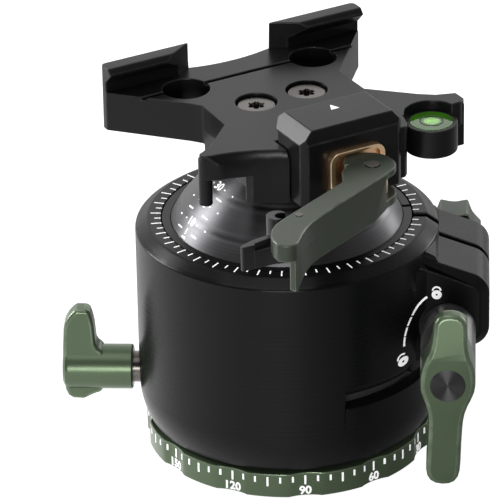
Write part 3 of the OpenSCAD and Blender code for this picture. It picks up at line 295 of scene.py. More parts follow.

# %% [markdown]
# Handling rubs the dye off the edges first, and rounded edges catch thin lines of light: the lighter edge
# colour stands for both, partly wear and partly a painted highlight. Softened pieces mark their rounded edge
# faces in an attribute called edge. This group lets that lighter colour through there, broken up by noise so
# that it isn't a neat line.

# %% Worn edges and painted edge highlight
EDGE_BREAK_PER_M = 420
worn_and_lit_edge, given, made = node_group(
    "worn_and_lit_edge",
    [("Colour", "Color", (0.5, 0.5, 0.5, 1)), ("Worn", "Color", (0.6, 0.6, 0.6, 1)), ("Amount", "Float", 0.5)],
    [("Colour", "Color"), ("Worn_and_lit_share", "Float")])
where = worn_and_lit_edge.nodes.new("ShaderNodeTexCoord")
mark = worn_and_lit_edge.nodes.new("ShaderNodeAttribute")
mark.attribute_name = "edge"
broken = spread(worn_and_lit_edge, noise(worn_and_lit_edge, (where, "Object"), EDGE_BREAK_PER_M, 3), 0.35, 0.65, 0.3, 1.0)
worn_and_lit_part = sum_of(worn_and_lit_edge, "MULTIPLY", (mark, "Fac"), broken)
worn_and_lit_share = sum_of(worn_and_lit_edge, "MULTIPLY", worn_and_lit_part, (given, "Amount"))
blend = worn_and_lit_edge.nodes.new("ShaderNodeMix")
blend.data_type = "RGBA"
link(worn_and_lit_edge, worn_and_lit_share, (blend, 0))
link(worn_and_lit_edge, (given, "Colour"), (blend, 6))
link(worn_and_lit_edge, (given, "Worn"), (blend, 7))
link(worn_and_lit_edge, (blend, 2), (made, "Colour"))
link(worn_and_lit_edge, worn_and_lit_share, (made, "Worn_and_lit_share"))
print("group", worn_and_lit_edge.name, len(worn_and_lit_edge.nodes), "nodes")

# %% [markdown]
# The ball, the screws, the neck and the cap are turned on a lathe, and the tool leaves fine rings round the
# axis. The distance from the axis plus the distance along it gives one number that grows along any turned
# surface, flat end or round side, and a one-dimensional noise of that number draws the rings.

# %% Rings of a turned surface
RING_TONE = (0.82, 1.18)
turned, given, made = node_group(
    "turned_rings",
    [("Place", "Vector", (0, 0, 0)), ("Centre", "Vector", (0, 0, 0)), ("Axis", "Vector", (0, 0, 1)),
     ("Pitch", "Float", 4000.0), ("Colour", "Color", (0.5, 0.5, 0.5, 1)), ("Roughness", "Float", 0.3)],
    [("Colour", "Color"), ("Roughness", "Float"), ("Height", "Float")])


def vector_sum(tree, operation, first, second=None):
    """One Vector Math node on one or two vector sockets."""
    node = tree.nodes.new("ShaderNodeVectorMath")
    node.operation = operation
    link(tree, first, (node, 0))
    if second:
        link(tree, second, (node, 1))
    return node


arm = vector_sum(turned, "SUBTRACT", (given, "Place"), (given, "Centre"))
along = vector_sum(turned, "DOT_PRODUCT", (arm, 0), (given, "Axis"))
across = vector_sum(turned, "LENGTH", (vector_sum(turned, "CROSS_PRODUCT", (arm, 0), (given, "Axis")), 0))
path_sum = sum_of(turned, "ADD", (along, "Value"), (across, "Value"))
rings = turned.nodes.new("ShaderNodeTexNoise")
rings.noise_dimensions = "1D"
rings.inputs["Scale"].default_value = 1
rings.inputs["Detail"].default_value = 2
link(turned, sum_of(turned, "MULTIPLY", path_sum, (given, "Pitch")), (rings, "W"))
tone = spread(turned, (rings, "Fac"), *CORE, *RING_TONE)
link(turned, shaded(turned, (given, "Colour"), tone), (made, "Colour"))
link(turned, sum_of(turned, "MULTIPLY", tone, (given, "Roughness")), (made, "Roughness"))
link(turned, (rings, "Fac"), (made, "Height"))
print("group", turned.name, len(turned.nodes), "nodes")

# %% [markdown]
# Now the finishes. Satin ones go through the grain and the lighter edges, partly wear and partly painted
# highlight. Black anodised metal mirrors little except at a glancing angle, so its shader is not metallic; the
# green dye is thinner and keeps some of the metal's sheen under it.


# %% Satin finishes
def new_finish(name, metallic, **plain):
    """A material with its tree and shader; plain numbers go straight on the shader's own sockets."""
    material = bpy.data.materials.new(name)
    material.use_nodes = True
    shader = material.node_tree.nodes["Principled BSDF"]
    shader.inputs["Metallic"].default_value = metallic
    for socket, value in plain.items():
        shader.inputs[socket.replace("_", " ")].default_value = value
    return material, material.node_tree, shader


def use(tree, group, **values):
    """Places a group in a material; numbers and colours set its inputs."""
    node = tree.nodes.new("ShaderNodeGroup")
    node.node_tree = group
    for socket, value in values.items():
        node.inputs[socket].default_value = value
    return node


def raise_bumps(tree, height, shader, distance):
    """A Bump node between a height and the shader's normal."""
    node = tree.nodes.new("ShaderNodeBump")
    node.inputs["Strength"].default_value = 1
    node.inputs["Distance"].default_value = distance
    link(tree, height, (node, "Height"))
    link(tree, (node, "Normal"), (shader, "Normal"))


def satin(name, colour, worn_and_lit_colour, metallic, roughness, fine=5000.0, depth=0.003, amount=0.5, **plain):
    """Blasted and dyed metal, or moulded plastic, with edges lighter from wear and a painted highlight."""
    material, tree, shader = new_finish(name, metallic, **plain)
    grain = use(tree, blasted, Colour=(*colour, 1), Roughness=roughness, Fine=fine)
    worn_and_lit_node = use(tree, worn_and_lit_edge, Worn=(*worn_and_lit_colour, 1), Amount=amount)
    link(tree, (grain, "Colour"), (worn_and_lit_node, "Colour"))
    link(tree, (worn_and_lit_node, "Colour"), (shader, "Base Color"))
    link(tree, (grain, "Roughness"), (shader, "Roughness"))
    raise_bumps(tree, (grain, "Height"), shader, depth * MM)
    return material


# The second colour of each satin finish is its lighter edge colour: partly wear, partly painted highlight.
finish = {
    "green_anodised": satin("green_satin", (0.07, 0.098, 0.058), (0.18, 0.23, 0.16), 0.55, 0.3,
                            Specular_IOR_Level=0.2),
    "black_anodised": satin("black_satin", (0.004, 0.004, 0.0043), (0.03, 0.03, 0.031), 0.0, 0.3,
                            Specular_IOR_Level=0.13),
    "base_metal": satin("base_satin", (0.03, 0.03, 0.031), (0.2, 0.2, 0.2), 0.4, 0.42),
    "black_trim": satin("black_trim", (0.006, 0.006, 0.006), (0.03, 0.03, 0.03), 0.0, 0.34,
                        Specular_IOR_Level=0.25),
    "bearing_plastic": satin("bearing_plastic", (0.02, 0.02, 0.02), (0.03, 0.03, 0.03), 0.0, 0.5,
                             fine=1500.0),
}
print("satin finishes", len(finish))

# %% [markdown]
# Turned finishes take the rings with the axis of their own piece. The lock lever's neck and cap turn about
# the bolt through the clamping ear, which points 32 degrees to the right of the head's own X axis.

# %% Turned finishes
EAR = math.radians(-32)
EAR_OUT = Vector((math.cos(EAR), math.sin(EAR), 0))
EAR_FRONT = Vector((math.sin(EAR), -math.cos(EAR), 0))
LOCK_AXIS = EAR_OUT * 33.4 * MM + Vector((0, 0, 32.0 * MM))
PAN_OUT = -EAR_OUT


def lathe_finish(name, colour, metallic, roughness, pitch, depth, centre=(0, 0, 0), axis=(0, 0, 1), **plain):
    """Turned metal with rings round an axis; its highlights stretch across the rings."""
    plain = {"Anisotropic": 0.75, "Anisotropic_Rotation": 0.25, **plain}
    material, tree, shader = new_finish(name, metallic, **plain)
    where = tree.nodes.new("ShaderNodeTexCoord")
    marks = use(tree, turned, Centre=centre, Axis=axis, Pitch=pitch, Colour=(*colour, 1), Roughness=roughness)
    link(tree, (where, "Object"), (marks, "Place"))
    link(tree, (marks, "Colour"), (shader, "Base Color"))
    link(tree, (marks, "Roughness"), (shader, "Roughness"))
    raise_bumps(tree, (marks, "Height"), shader, depth * MM)
    arm = vector_sum(tree, "SUBTRACT", (where, "Object"))
    arm.inputs[1].default_value = centre
    groove = vector_sum(tree, "CROSS_PRODUCT", (arm, 0))
    groove.inputs[1].default_value = axis
    link(tree, (groove, 0), (shader, "Tangent"))
    return material


finish["ball_metal"] = lathe_finish("polished_ball", (0.07, 0.07, 0.073), 1.0, 0.4, 5000.0, 0.002)
finish["neck_metal"] = lathe_finish("turned_neck", (0.13, 0.13, 0.13), 0.9, 0.32, 2600.0, 0.004,
                                    tuple(LOCK_AXIS), tuple(EAR_FRONT))
finish["steel"] = lathe_finish("turned_steel", (0.09, 0.083, 0.077), 1.0, 0.3, 3000.0, 0.004)
finish["spring_steel"] = lathe_finish("spring_wire", (0.35, 0.35, 0.36), 1.0, 0.3, 2500.0, 0.003)
finish["copper"] = satin("bronze", (0.9, 0.58, 0.33), (1.0, 0.78, 0.52), 1.0, 0.33, amount=0.9)
finish["brass"] = lathe_finish("brass", (0.6, 0.45, 0.18), 1.0, 0.3, 2500.0, 0.003,
                               tuple(PAN_OUT), tuple(PAN_OUT))
turned_black = lathe_finish("turned_black", (0.004, 0.004, 0.0043), 0.0, 0.3, 4000.0, 0.0015,
                            Specular_IOR_Level=0.1)
cap_black = lathe_finish("cap_black", (0.05, 0.05, 0.05), 1.0, 0.5, 14000.0, 0.0005,
                         tuple(LOCK_AXIS), tuple(EAR_FRONT), Anisotropic=0.95)
print("satin and turned finishes", len(finish))

# %% [markdown]
# The bubble level is a cup of green liquid under a clear lid. The liquid is bright because light comes in
# from all round; a little emission stands for that. The lid is tinted glass with a faint smear on it.

# %% Level finishes
material, tree, shader = new_finish("level_liquid", 0.0, Roughness=0.25, Emission_Strength=0.2)
where = tree.nodes.new("ShaderNodeTexCoord")
depth_of_green = spread(tree, noise(tree, (where, "Object"), 260, 2), *CORE, 0.8, 1.15)
liquid = tree.nodes.new("ShaderNodeRGB")
liquid.outputs[0].default_value = (0.12, 0.32, 0.03, 1)
tinted = shaded(tree, (liquid, 0), depth_of_green)
link(tree, tinted, (shader, "Base Color"))
link(tree, tinted, (shader, "Emission Color"))
finish["vial_green"] = material
material, tree, shader = new_finish("level_lid", 0.0, IOR=1.45, Transmission_Weight=1.0)
shader.inputs["Base Color"].default_value = (0.8, 1.0, 0.62, 1)
where = tree.nodes.new("ShaderNodeTexCoord")
smear = spread(tree, noise(tree, (where, "Object"), 500, 3), *CORE, 0.02, 0.10)
link(tree, smear, (shader, "Roughness"))
finish["vial_window"] = material
print("level finishes", "vial_green", "vial_window")

# %% [markdown]
# The record says which slot each node belongs to, and a slot has one finish. A few nodes have their own:
# the housing and the collet were turned, the lever's cap has finer rings, and the cam lever and the drag
# knob get a darker copy of the green: painted shade, because they face up into the bright room.

# %% Finishes on the nodes
slot_of = {part["node"]: part["material_slot"] for part in frame["record"]["subparts"]}
# A darker copy of the green, painted shade for the parts that face up into the bright room.
green_painted_shade = satin("green_shaded_copy", (0.042, 0.05, 0.038), (0.13, 0.15, 0.12), 0.55, 0.34,
                   Specular_IOR_Level=0.1)
own_finish = {"housing": turned_black, "collet_ring": turned_black, "lever_cap": cap_black,
              "cam_lever": green_painted_shade, "drag_knob": green_painted_shade}


def finish_of(node):
    """The node's own finish, or the one of its slot."""
    return own_finish.get(node, finish[slot_of[node]])


for name, node in nodes.items():
    for slot in node.material_slots:
        slot.material = finish_of(name)
print("finishes on", len(nodes), "nodes")

# %% [markdown]
# CAD edges are knife-sharp, and real ones never are: a tumbled part has edges of a few tenths of a
# millimetre that catch the light, and much of what makes metal look real is in those thin bright lines. So
# the pieces that show get a copy with bevelled edges. The copy's triangles are merged first, flat ones are
# dissolved into whole faces, and only the outer edges are bevelled, so that inner corners stay crisp.

# %% Softened pieces
MERGE = 1e-6
FLAT = math.radians(0.6)
SHARP = math.radians(30)
bodies = frame["record"]["behaviour"]["bodies"]
body_of = {node: body for body, members in bodies.items() for node in members}


def settle(piece, node):
    """The piece stands for a node: same body, and the node is hidden."""
    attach(piece, body_of[node])
    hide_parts(node)


def whole_copy(name):
    """A node's mesh as a bmesh: triangles merged, flat ones dissolved into whole faces."""
    bm = bmesh.new()
    bm.from_mesh(nodes[name].data)
    bmesh.ops.remove_doubles(bm, verts=bm.verts, dist=MERGE)
    bmesh.ops.dissolve_limit(bm, angle_limit=FLAT, verts=bm.verts, edges=bm.edges)
    return bm


def round_off(bm, width, segments=2, keen=28, pick=None):
    """Rounds the outer edges by width millimetres and marks the new faces as edge."""
    edge = bm.faces.layers.float.get("edge") or bm.faces.layers.float.new("edge")
    outer = [e for e in bm.edges if e.is_manifold and e.is_convex
             and e.calc_face_angle() > math.radians(keen) and (pick is None or pick(e))]
    rounded = bmesh.ops.bevel(bm, geom=outer, offset=width * MM, offset_type="OFFSET", segments=segments,
                              profile=0.5, affect="EDGES", material=-1, clamp_overlap=False)
    for face in rounded["faces"]:
        face[edge] = 1


def dressed(name, bm):
    """Closes a copy of a node: smooth shading that keeps flats flat, its finish, its body."""
    for face in bm.faces:
        face.smooth = True
    piece = mesh_piece(name + "_soft", bm, finish_of(name))
    piece.data.set_sharp_from_angle(angle=SHARP)
    shade = piece.modifiers.new("even_shade", "WEIGHTED_NORMAL")
    shade.keep_sharp = True
    settle(piece, name)
    low, high = (Vector(corner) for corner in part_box(name))
    grown = max(max((low - v.co)[i], (v.co - high)[i]) for v in piece.data.vertices for i in range(3))
    print(piece.name, len(piece.data.polygons), "faces, stands out", round(grown / MM, 3), "mm")


for name, width in (("housing", 0.3), ("collet_ring", 0.2), ("base_ring", 0.3), ("clamp_plate", 0.25),
                    ("movable_jaw", 0.25), ("cam_frame", 0.25), ("plate_screws", 0.2)):
    bm = whole_copy(name)
    round_off(bm, width)
    dressed(name, bm)

# %% [markdown]
# The lock lever is the piece that a hand meets, so it is rounder than the rest: a hub with two arms that
# flow into it. Half of its outline is drawn as a few points, distance up the lever and half width, and the
# other half mirrors it. The outline is made thick, cut across at the hub, and then the arms are tipped back
# a little in front and thinned behind, before a wide bevel softens the whole rim.

# %% Lock lever
LEVER_OUT = 40.35 * MM
LEVER_ROLL = math.radians(-2.6)
LEVER_THICK = 7.85
HUB_HALF = 5.5
UPPER_SLOPES = (0.2, 0.3)
LOWER_SLOPES = (0.03, 0.17)
lever_half = ((14.9, 0), (14.7, 1.5), (14.0, 2.6), (12.9, 3.25), (11.4, 3.38), (9.25, 3.5), (7.6, 3.75),
              (6.3, 4.15), (5, 4.7), (3.4, 5.24), (1.7, 5.5), (0, 5.57), (-1.7, 5.4), (-3.35, 4.85),
              (-4.8, 4.25), (-6.7, 3.72), (-8.4, 3.5), (-10.1, 3.43), (-13.4, 3.4), (-17.6, 3.46),
              (-20, 3.4), (-21.4, 3.1), (-22.4, 2.45), (-23, 1.4), (-23.2, 0))
lever_frame = Matrix((EAR_OUT, Vector((0, 0, 1)), EAR_FRONT)).transposed().to_4x4()
to_lock = (Matrix.Translation(LOCK_AXIS + EAR_FRONT * LEVER_OUT) @ lever_frame
           @ Matrix.Rotation(LEVER_ROLL, 4, "Z"))


def thicken(bm, outline, low, high):
    """A solid from a flat outline in millimetres, between two heights; gives back its bottom face."""
    bottom = bm.faces.new([bm.verts.new((x * MM, y * MM, low * MM)) for x, y in outline])
    lifted = bmesh.ops.extrude_face_region(bm, geom=[bottom], use_keep_orig=True)["geom"]
    top = [v for v in lifted if isinstance(v, bmesh.types.BMVert)]
    bmesh.ops.translate(bm, verts=top, vec=(0, 0, (high - low) * MM))
    return bottom


bm = bmesh.new()
outline = [(w, s) for s, w in lever_half] + [(-w, s) for s, w in reversed(lever_half[1:-1])]
thicken(bm, outline, -LEVER_THICK, 0)
for height in (HUB_HALF, -HUB_HALF):
    bmesh.ops.bisect_plane(bm, geom=bm.verts[:] + bm.edges[:] + bm.faces[:], dist=1e-7,
                           plane_co=(0, height * MM, 0), plane_no=(0, 1, 0))
for v in bm.verts:
    over = abs(v.co.y) - HUB_HALF * MM
    if over > 0:
        front_slope, back_slope = UPPER_SLOPES if v.co.y > 0 else LOWER_SLOPES
        v.co.z += over * (back_slope if v.co.z < -LEVER_THICK / 2 * MM else -front_slope)
bmesh.ops.recalc_face_normals(bm, faces=bm.faces)
round_off(bm, 1.0, segments=4, keen=40)
bmesh.ops.transform(bm, verts=bm.verts, matrix=to_lock)
dressed("lock_lever", bm)

# %% [markdown]
# A small black cap closes the bolt hole in the lever's hub. It is turned, so a profile from its centre to
# its rim is spun round the bolt's axis.


# %% Lever cap
def turn_up(bm, profile):
    """Spins a profile of (radius, height) in millimetres into a closed turned solid round Z."""
    points = [bm.verts.new((r * MM, 0, z * MM)) for r, z in profile]
    chain = [bm.edges.new(pair) for pair in zip(points, points[1:])]
    bmesh.ops.spin(bm, geom=points + chain, cent=(0, 0, 0), axis=(0, 0, 1), angle=math.tau, steps=64,
                   use_merge=True)
    bmesh.ops.remove_doubles(bm, verts=bm.verts, dist=MERGE)


bm = bmesh.new()
turn_up(bm, ((0, 0.12), (3.2, 0.12), (3.5, 0.06), (3.75, -0.15), (3.75, -0.6), (0, -0.6)))
bmesh.ops.recalc_face_normals(bm, faces=bm.faces)
bmesh.ops.transform(bm, verts=bm.verts, matrix=to_lock)
dressed("lever_cap", bm)

# %% [markdown]
# The panning knob is a round neck that runs on through a flat wing, long above and short below. The wing's
# outline is drawn in the plane of the axis, distance from the knob's inner end and height, and made thick;
# the neck is spun. The wing thins a little towards its upper tip.


# %% Panning knob
def take_in(bm, other):
    """Adds another bmesh to this one and frees it."""
    passing = bpy.data.meshes.new("passing")
    other.to_mesh(passing)
    other.free()
    bm.from_mesh(passing)
    bpy.data.meshes.remove(passing)


PAN_PLACE = PAN_OUT * 32.65 * MM + Vector((0, 0, 14.3 * MM))
WING_HALF = 3.0
WING_TAPER = 0.022
wing = ((6.0, 3.0), (6.25, 4.75), (7.2, 5.4), (7.7, 6.35), (7.85, 8.4), (8.0, 10.4), (8.35, 12.2),
        (8.7, 13.5), (9.2, 14.15), (11.5, 14.15), (12.2, 13.7), (13.2, 12.6), (14.05, 11.1), (14.35, 9.8),
        (14.6, 5.3), (14.7, 1.0), (14.6, -1.8), (14.3, -4.2), (13.7, -5.6), (12.7, -6.3), (10.5, -6.4),
        (10.0, -6.2), (9.15, -5.7), (8.0, -5.15), (6.7, -4.8), (6.0, -3.0))
up = Vector((0, 0, 1))
pan_frame = Matrix((PAN_OUT, up, PAN_OUT.cross(up))).transposed().to_4x4()
bm = bmesh.new()
thicken(bm, wing, -WING_HALF, WING_HALF)
for v in bm.verts:
    v.co.z *= 1 - WING_TAPER * max(0.0, v.co.y / MM)
bmesh.ops.recalc_face_normals(bm, faces=bm.faces)
round_off(bm, 0.8, segments=4, keen=45)
neck = bmesh.new()
turn_up(neck, ((0, 0), (4.45, 0), (4.75, 0.3), (4.75, 13.4), (4.4, 14.2), (3.6, 14.7), (0, 14.7)))
bmesh.ops.recalc_face_normals(neck, faces=neck.faces)
bmesh.ops.transform(neck, verts=neck.verts, matrix=Matrix.Rotation(math.radians(90), 4, "Y"))
take_in(bm, neck)
bmesh.ops.transform(bm, verts=bm.verts, matrix=Matrix.Translation(PAN_PLACE) @ pan_frame)
dressed("pan_knob", bm)

# %% [markdown]
# The drag knob behind the ear is a star of six points with hollow flanks for the fingertips. Its outline is
# a circle whose radius swings with the angle.

# %% Drag knob
DRAG_AXIS = EAR_OUT * 34.4 * MM + Vector((0, 0, 38.9 * MM))
DRAG_ENDS = (13.1, 20.3)
STAR_REACH = 5.85
STAR_DIP = 1.3
STAR_STEPS = 96
star = []
for step in range(STAR_STEPS):
    angle = math.tau * step / STAR_STEPS
    reach = STAR_REACH - STAR_DIP * abs(math.sin(3 * angle)) ** 0.8
    star.append((reach * math.cos(angle), reach * math.sin(angle)))
drag_frame = Matrix((-EAR_OUT, Vector((0, 0, 1)), -EAR_FRONT)).transposed().to_4x4()
bm = bmesh.new()
thicken(bm, star, *DRAG_ENDS)
bmesh.ops.recalc_face_normals(bm, faces=bm.faces)
round_off(bm, 0.4, segments=3, keen=60)
bmesh.ops.transform(bm, verts=bm.verts, matrix=Matrix.Translation(DRAG_AXIS) @ drag_frame)
dressed("drag_knob", bm)

# %% [markdown]
# The cam lever ends in a broad round thumb rest. Its front wall sweeps out there and hangs down as a thin
# fin, and a pocket under the rest takes the latch. The hub and the arm are the CAD node's, cut square and
# capped. The rest is drawn from a few outline points: the outline becomes a plate, and the front wall is a
# strip along its front edge whose lower side follows the fin.

# %% Cam lever
CAM_PIVOT = Vector((0, -34.7 * MM, 0))
CAM_ANGLE = math.radians(204)
CAM_TOP = 75.8
REST_LOW = CAM_TOP - 3.7
WALL_TOP = CAM_TOP - 0.6
LEAN = 0.205
CUT = 20.0
to_lever = Matrix.Translation(CAM_PIVOT) @ Matrix.Rotation(CAM_ANGLE, 4, "Z")
bm = whole_copy("cam_lever")
bmesh.ops.transform(bm, verts=bm.verts, matrix=to_lever.inverted())
halved = bmesh.ops.bisect_plane(bm, geom=bm.verts[:] + bm.edges[:] + bm.faces[:], dist=1e-7,
                                plane_co=(CUT * MM, 0, 0), plane_no=(1, 0, 0), clear_outer=True)
bmesh.ops.holes_fill(bm, edges=[e for e in halved["geom_cut"] if isinstance(e, bmesh.types.BMEdge)])


def clear_of_cut(edge):
    """True for an edge that doesn't lie in the cut."""
    return any(abs(v.co.x - CUT * MM) > 0.02 * MM for v in edge.verts)


round_off(bm, 0.3, pick=clear_of_cut)
front_edge = ((20, 4.8), (23.5, 4.85), (27, 5.05), (29.5, 5.52), (32.2, 6.4), (34.5, 7.4), (36.1, 8.0),
              (37.1, 8.2))
thumb_edge = ((38.0, 7.75), (38.75, 6.9), (39.15, 5.4), (38.1, 3.5), (36.6, 1.9), (34.6, 0.6), (32.2, -0.2),
              (29.5, -0.4), (20, -0.4))
low_side = ((20, 68.0), (27, 68.0), (30.4, 67.6), (32.4, 66.8), (34.2, 65.9), (35.4, 65.3), (36.3, 65.1),
            (37.2, 65.5))


def lean_at(x, z):
    """How far the arm's sloping front stands out at a height; the slope fades towards the fin."""
    return LEAN * (CAM_TOP - z) * max(0.0, min(1.0, (34 - x) / 8))


def upper_rim(edge):
    """True for the upper rim of the thumb rest."""
    return clear_of_cut(edge) and min(v.co.z for v in edge.verts) > (CAM_TOP - 0.1) * MM


def wall_rim(edge):
    """True for the keen edges of the front wall."""
    return (clear_of_cut(edge) and edge.verts[0].co.z < (CAM_TOP - 0.5) * MM
            and not any(f.calc_area() < 1e-9 for f in edge.link_faces) and edge.calc_face_angle() > 0.9)


rest = bmesh.new()
plate = thicken(rest, front_edge + thumb_edge, REST_LOW, CAM_TOP)
for v in plate.verts:
    if v.co.y > 4.7 * MM and v.co.x < 37.5 * MM:
        v.co.y += lean_at(v.co.x / MM, REST_LOW) * MM
bmesh.ops.recalc_face_normals(rest, faces=rest.faces)
round_off(rest, 0.35, segments=3, pick=upper_rim)
wall_back = [(x - 0.35, y - 1.9) for x, y in front_edge[:-1]] + [(37.0, 6.6)]
strip = rest.faces.new([rest.verts.new((x * MM, (y - 0.01 + lean_at(x, WALL_TOP)) * MM, WALL_TOP * MM))
                        for x, y in front_edge + tuple(reversed(wall_back))])
hang = bmesh.ops.extrude_face_region(rest, geom=[strip], use_keep_orig=True)["geom"]
for v in [item for item in hang if isinstance(item, bmesh.types.BMVert)]:
    x = v.co.x / MM
    step = next((i for i in range(1, len(low_side)) if x <= low_side[i][0]), len(low_side) - 1)
    (x0, z0), (x1, z1) = low_side[step - 1], low_side[step]
    z = z0 + (z1 - z0) * min(1.0, (x - x0) / (x1 - x0))
    lean = lean_at(x, z) - lean_at(x, WALL_TOP)
    v.co = Vector((v.co.x, v.co.y + lean * MM, z * MM))
bmesh.ops.recalc_face_normals(rest, faces=rest.faces)
round_off(rest, 0.3, pick=wall_rim)
take_in(bm, rest)
bmesh.ops.transform(bm, verts=bm.verts, matrix=to_lever)
dressed("cam_lever", bm)

# %% [markdown]
# The safety latch turns on a pin under the thumb rest: a thin plate for the finger, a lower ledge in front
# of it, the hub on the pin, and an arm with a hook that stands up behind the lever. Each part is an outline
# made thick, from one height to another, and they overlap in one piece. The hub and the hook are open
# rings: one arc goes round outside and another comes back inside. The frame is the lever's, turned back.

# %% Safety latch
LATCH_PIN = Vector((26.4 * MM, 1.2 * MM, 0))
LATCH_ANGLE = math.radians(-24)
LATCH_LOW = 66.4
LATCH_TOP = 71.6
to_latch = to_lever @ Matrix.Translation(LATCH_PIN) @ Matrix.Rotation(LATCH_ANGLE, 4, "Z")


def arc_points(x, y, radius, start, end, steps):
    """Points along an arc round x, y, angles in degrees."""
    turns = [math.radians(start + (end - start) * step / steps) for step in range(steps + 1)]
    return [(x + radius * math.cos(t), y + radius * math.sin(t)) for t in turns]


hub = arc_points(0, 0, 2.0, -178, 178, 40) + arc_points(0, 0, 0.9, 178, -178, 40)
plate = [(0, -2), (5.9, -2.85), (8.9, -2.6), (11.5, -1.8), (12.2, -1.5), (12.45, -0.95), (12.25, -0.5),
         (9.7, -0.4), (9.3, -1.0), (5.8, -1.55), (0.3, -1.3)]
ledge = [(1.35, -1.0), (5.8, -1.75), (9.3, -1.2), (9.75, -0.42), (8, -0.32), (6, -0.2), (3, 0.6), (0.9, 1.6)]
hook = arc_points(1.95, -5.25, 2.1, 195, 435, 20) + arc_points(1.3, -4.65, 1.25, 435, 195, 20)
latch_arm = [(-0.9, -1.5), (0.9, -4.2), (3.2, -5.9), (4.0, -4.6), (3.4, -2.3)]
bm = bmesh.new()
latch_parts = ((hub, LATCH_LOW, LATCH_TOP), (plate, LATCH_LOW, LATCH_TOP), (ledge, LATCH_LOW, 70.2),
               (latch_arm, 66.6, 71.2), (hook, 66.6, 74.0))
for outline, low, high in latch_parts:
    thicken(bm, outline, low, high)
bmesh.ops.recalc_face_normals(bm, faces=bm.faces)
round_off(bm, 0.15)
bmesh.ops.transform(bm, verts=bm.verts, matrix=to_latch)
dressed("safety_latch", bm)

# %% [markdown]
# The spring that opens the jaw sits between the clamp and the jaw. The CAD model has a plain tube in its
# place; here it is wound: a small circle is spun round the rod while it moves along it.

# %% Jaw spring
low, high = (Vector(corner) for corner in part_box("jaw_spring"))
middle = (low + high) / 2
WIRE = 0.45 * MM
TURNS = 4.5
COIL_STEPS = 108
bm = bmesh.new()
ring = bmesh.ops.create_circle(bm, segments=8, radius=WIRE)["verts"]
bmesh.ops.translate(bm, verts=ring, vec=((high.x - low.x) / 2 - WIRE, 0, 0))
climb = (high.y - low.y - 2 * WIRE) / COIL_STEPS
bmesh.ops.spin(bm, geom=bm.verts[:] + bm.edges[:], cent=(0, 0, 0), axis=(0, 1, 0), dvec=(0, climb, 0),
               angle=math.tau * TURNS, steps=COIL_STEPS)
bmesh.ops.holes_fill(bm, edges=bm.edges)
bmesh.ops.recalc_face_normals(bm, faces=bm.faces)
bmesh.ops.translate(bm, verts=bm.verts, vec=(middle.x, low.y + WIRE, middle.z))
for face in bm.faces:
    face.smooth = True
coil = mesh_piece("jaw_spring_wound", bm, finish_of("jaw_spring"))
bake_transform(coil)
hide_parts("jaw_spring")
print(coil.name, len(coil.data.polygons), "faces", [round(c / MM, 2) for c in coil.dimensions], "mm")

# %% [markdown]
# The signs are printed: white paint that stands a few hundredths of a millimetre proud. Each sign is first
# drawn flat, from small boxes, ring pieces and digits, and then every point is carried onto the surface
# that bears it. The digits come from Blender's own font, made a mesh, a little heavier than usual.

# %% Tools for printed signs
PAINT = 0.06 * MM
CAPITALS = 0.69  # height of the font's digits as a share of its size
# The white paint also glows a little: painted light that keeps it bright white, though it is no lamp.
sign_white = satin("sign_white", (0.9, 0.9, 0.9), (0.9, 0.9, 0.9), 0.0, 0.5, fine=3500.0, depth=0.004,
                   Emission_Color=(1, 1, 1, 1), Emission_Strength=0.25)


def add_bar(bm, x, y, width, height):
    """A flat bar centred at x, y, in millimetres."""
    stretch = Matrix.Diagonal((width * MM, height * MM, 2 * PAINT, 1))
    shape = Matrix.Translation(Vector((x, y, 0)) * MM) @ stretch
    return bmesh.ops.create_cube(bm, size=1, matrix=shape)["verts"]


def add_digits(bm, text, x, y, height, weight=0.05):
    """Digits centred at x, y, as a mesh, their height in millimetres."""
    curve = bpy.data.curves.new("digits", "FONT")
    curve.body = text
    curve.align_x, curve.align_y = "CENTER", "CENTER"
    curve.size = height * MM / CAPITALS
    curve.offset = weight * height * MM
    curve.extrude = PAINT
    curve.resolution_u = 3
    writing = bpy.data.objects.new("digits", curve)
    mesh = bpy.data.meshes.new_from_object(writing)
    before = len(bm.verts)
    bm.from_mesh(mesh)
    bm.verts.ensure_lookup_table()
    drawn = bm.verts[before:]
    bmesh.ops.translate(bm, verts=drawn, vec=Vector((x, y, 0)) * MM)
    bpy.data.objects.remove(writing)
    bpy.data.curves.remove(curve)
    bpy.data.meshes.remove(mesh)
    return drawn


def carry(verts, place):
    """Moves flat points (x, y, depth in metres) onto a surface."""
    for v in verts:
        v.co = place(*v.co)


def printed(name, bm, body, paint=None):
    """Closes a sign: doubles merged, faces turned outwards, riding on a body."""
    bmesh.ops.remove_doubles(bm, verts=bm.verts, dist=1e-7)
    bmesh.ops.recalc_face_normals(bm, faces=bm.faces)
    piece = mesh_piece(name, bm, paint or sign_white)
    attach(piece, body)
    print(name, len(piece.data.polygons), "faces on", body)


print("tools for signs ready")

# %% [markdown]
# Round the base ring runs the panning scale: a stroke every 5 degrees, a long one every 15, and a number in
# every scallop. The ring isn't quite round, so each point asks for the ring's radius at its own angle: the
# scallops are cut by a round cutter that stands outside the ring.

# %% Panning scale on the base ring
SCALLOP = 6.4  # the angle of the first scallop
RING_R = 30.0
CUTTER_R = 9.82
CUTTER_OUT = 39.02


def ring_radius(angle):
    """The base ring's radius in metres at an angle in degrees."""
    off = math.radians((angle - SCALLOP + 15) % 30 - 15)
    room = CUTTER_R ** 2 - (CUTTER_OUT * math.sin(off)) ** 2
    cut = CUTTER_OUT * math.cos(off) - math.sqrt(room) if room > 0 else RING_R
    return min(RING_R, cut) * MM


def on_ring(angle):
    """Carries flat points to the ring's side, x along the ring and y up."""
    def place(x, y, depth):
        at = angle + math.degrees(x / (29.5 * MM))
        out = ring_radius(at) + depth
        return Vector((out * math.cos(math.radians(at)), out * math.sin(math.radians(at)), y))
    return place


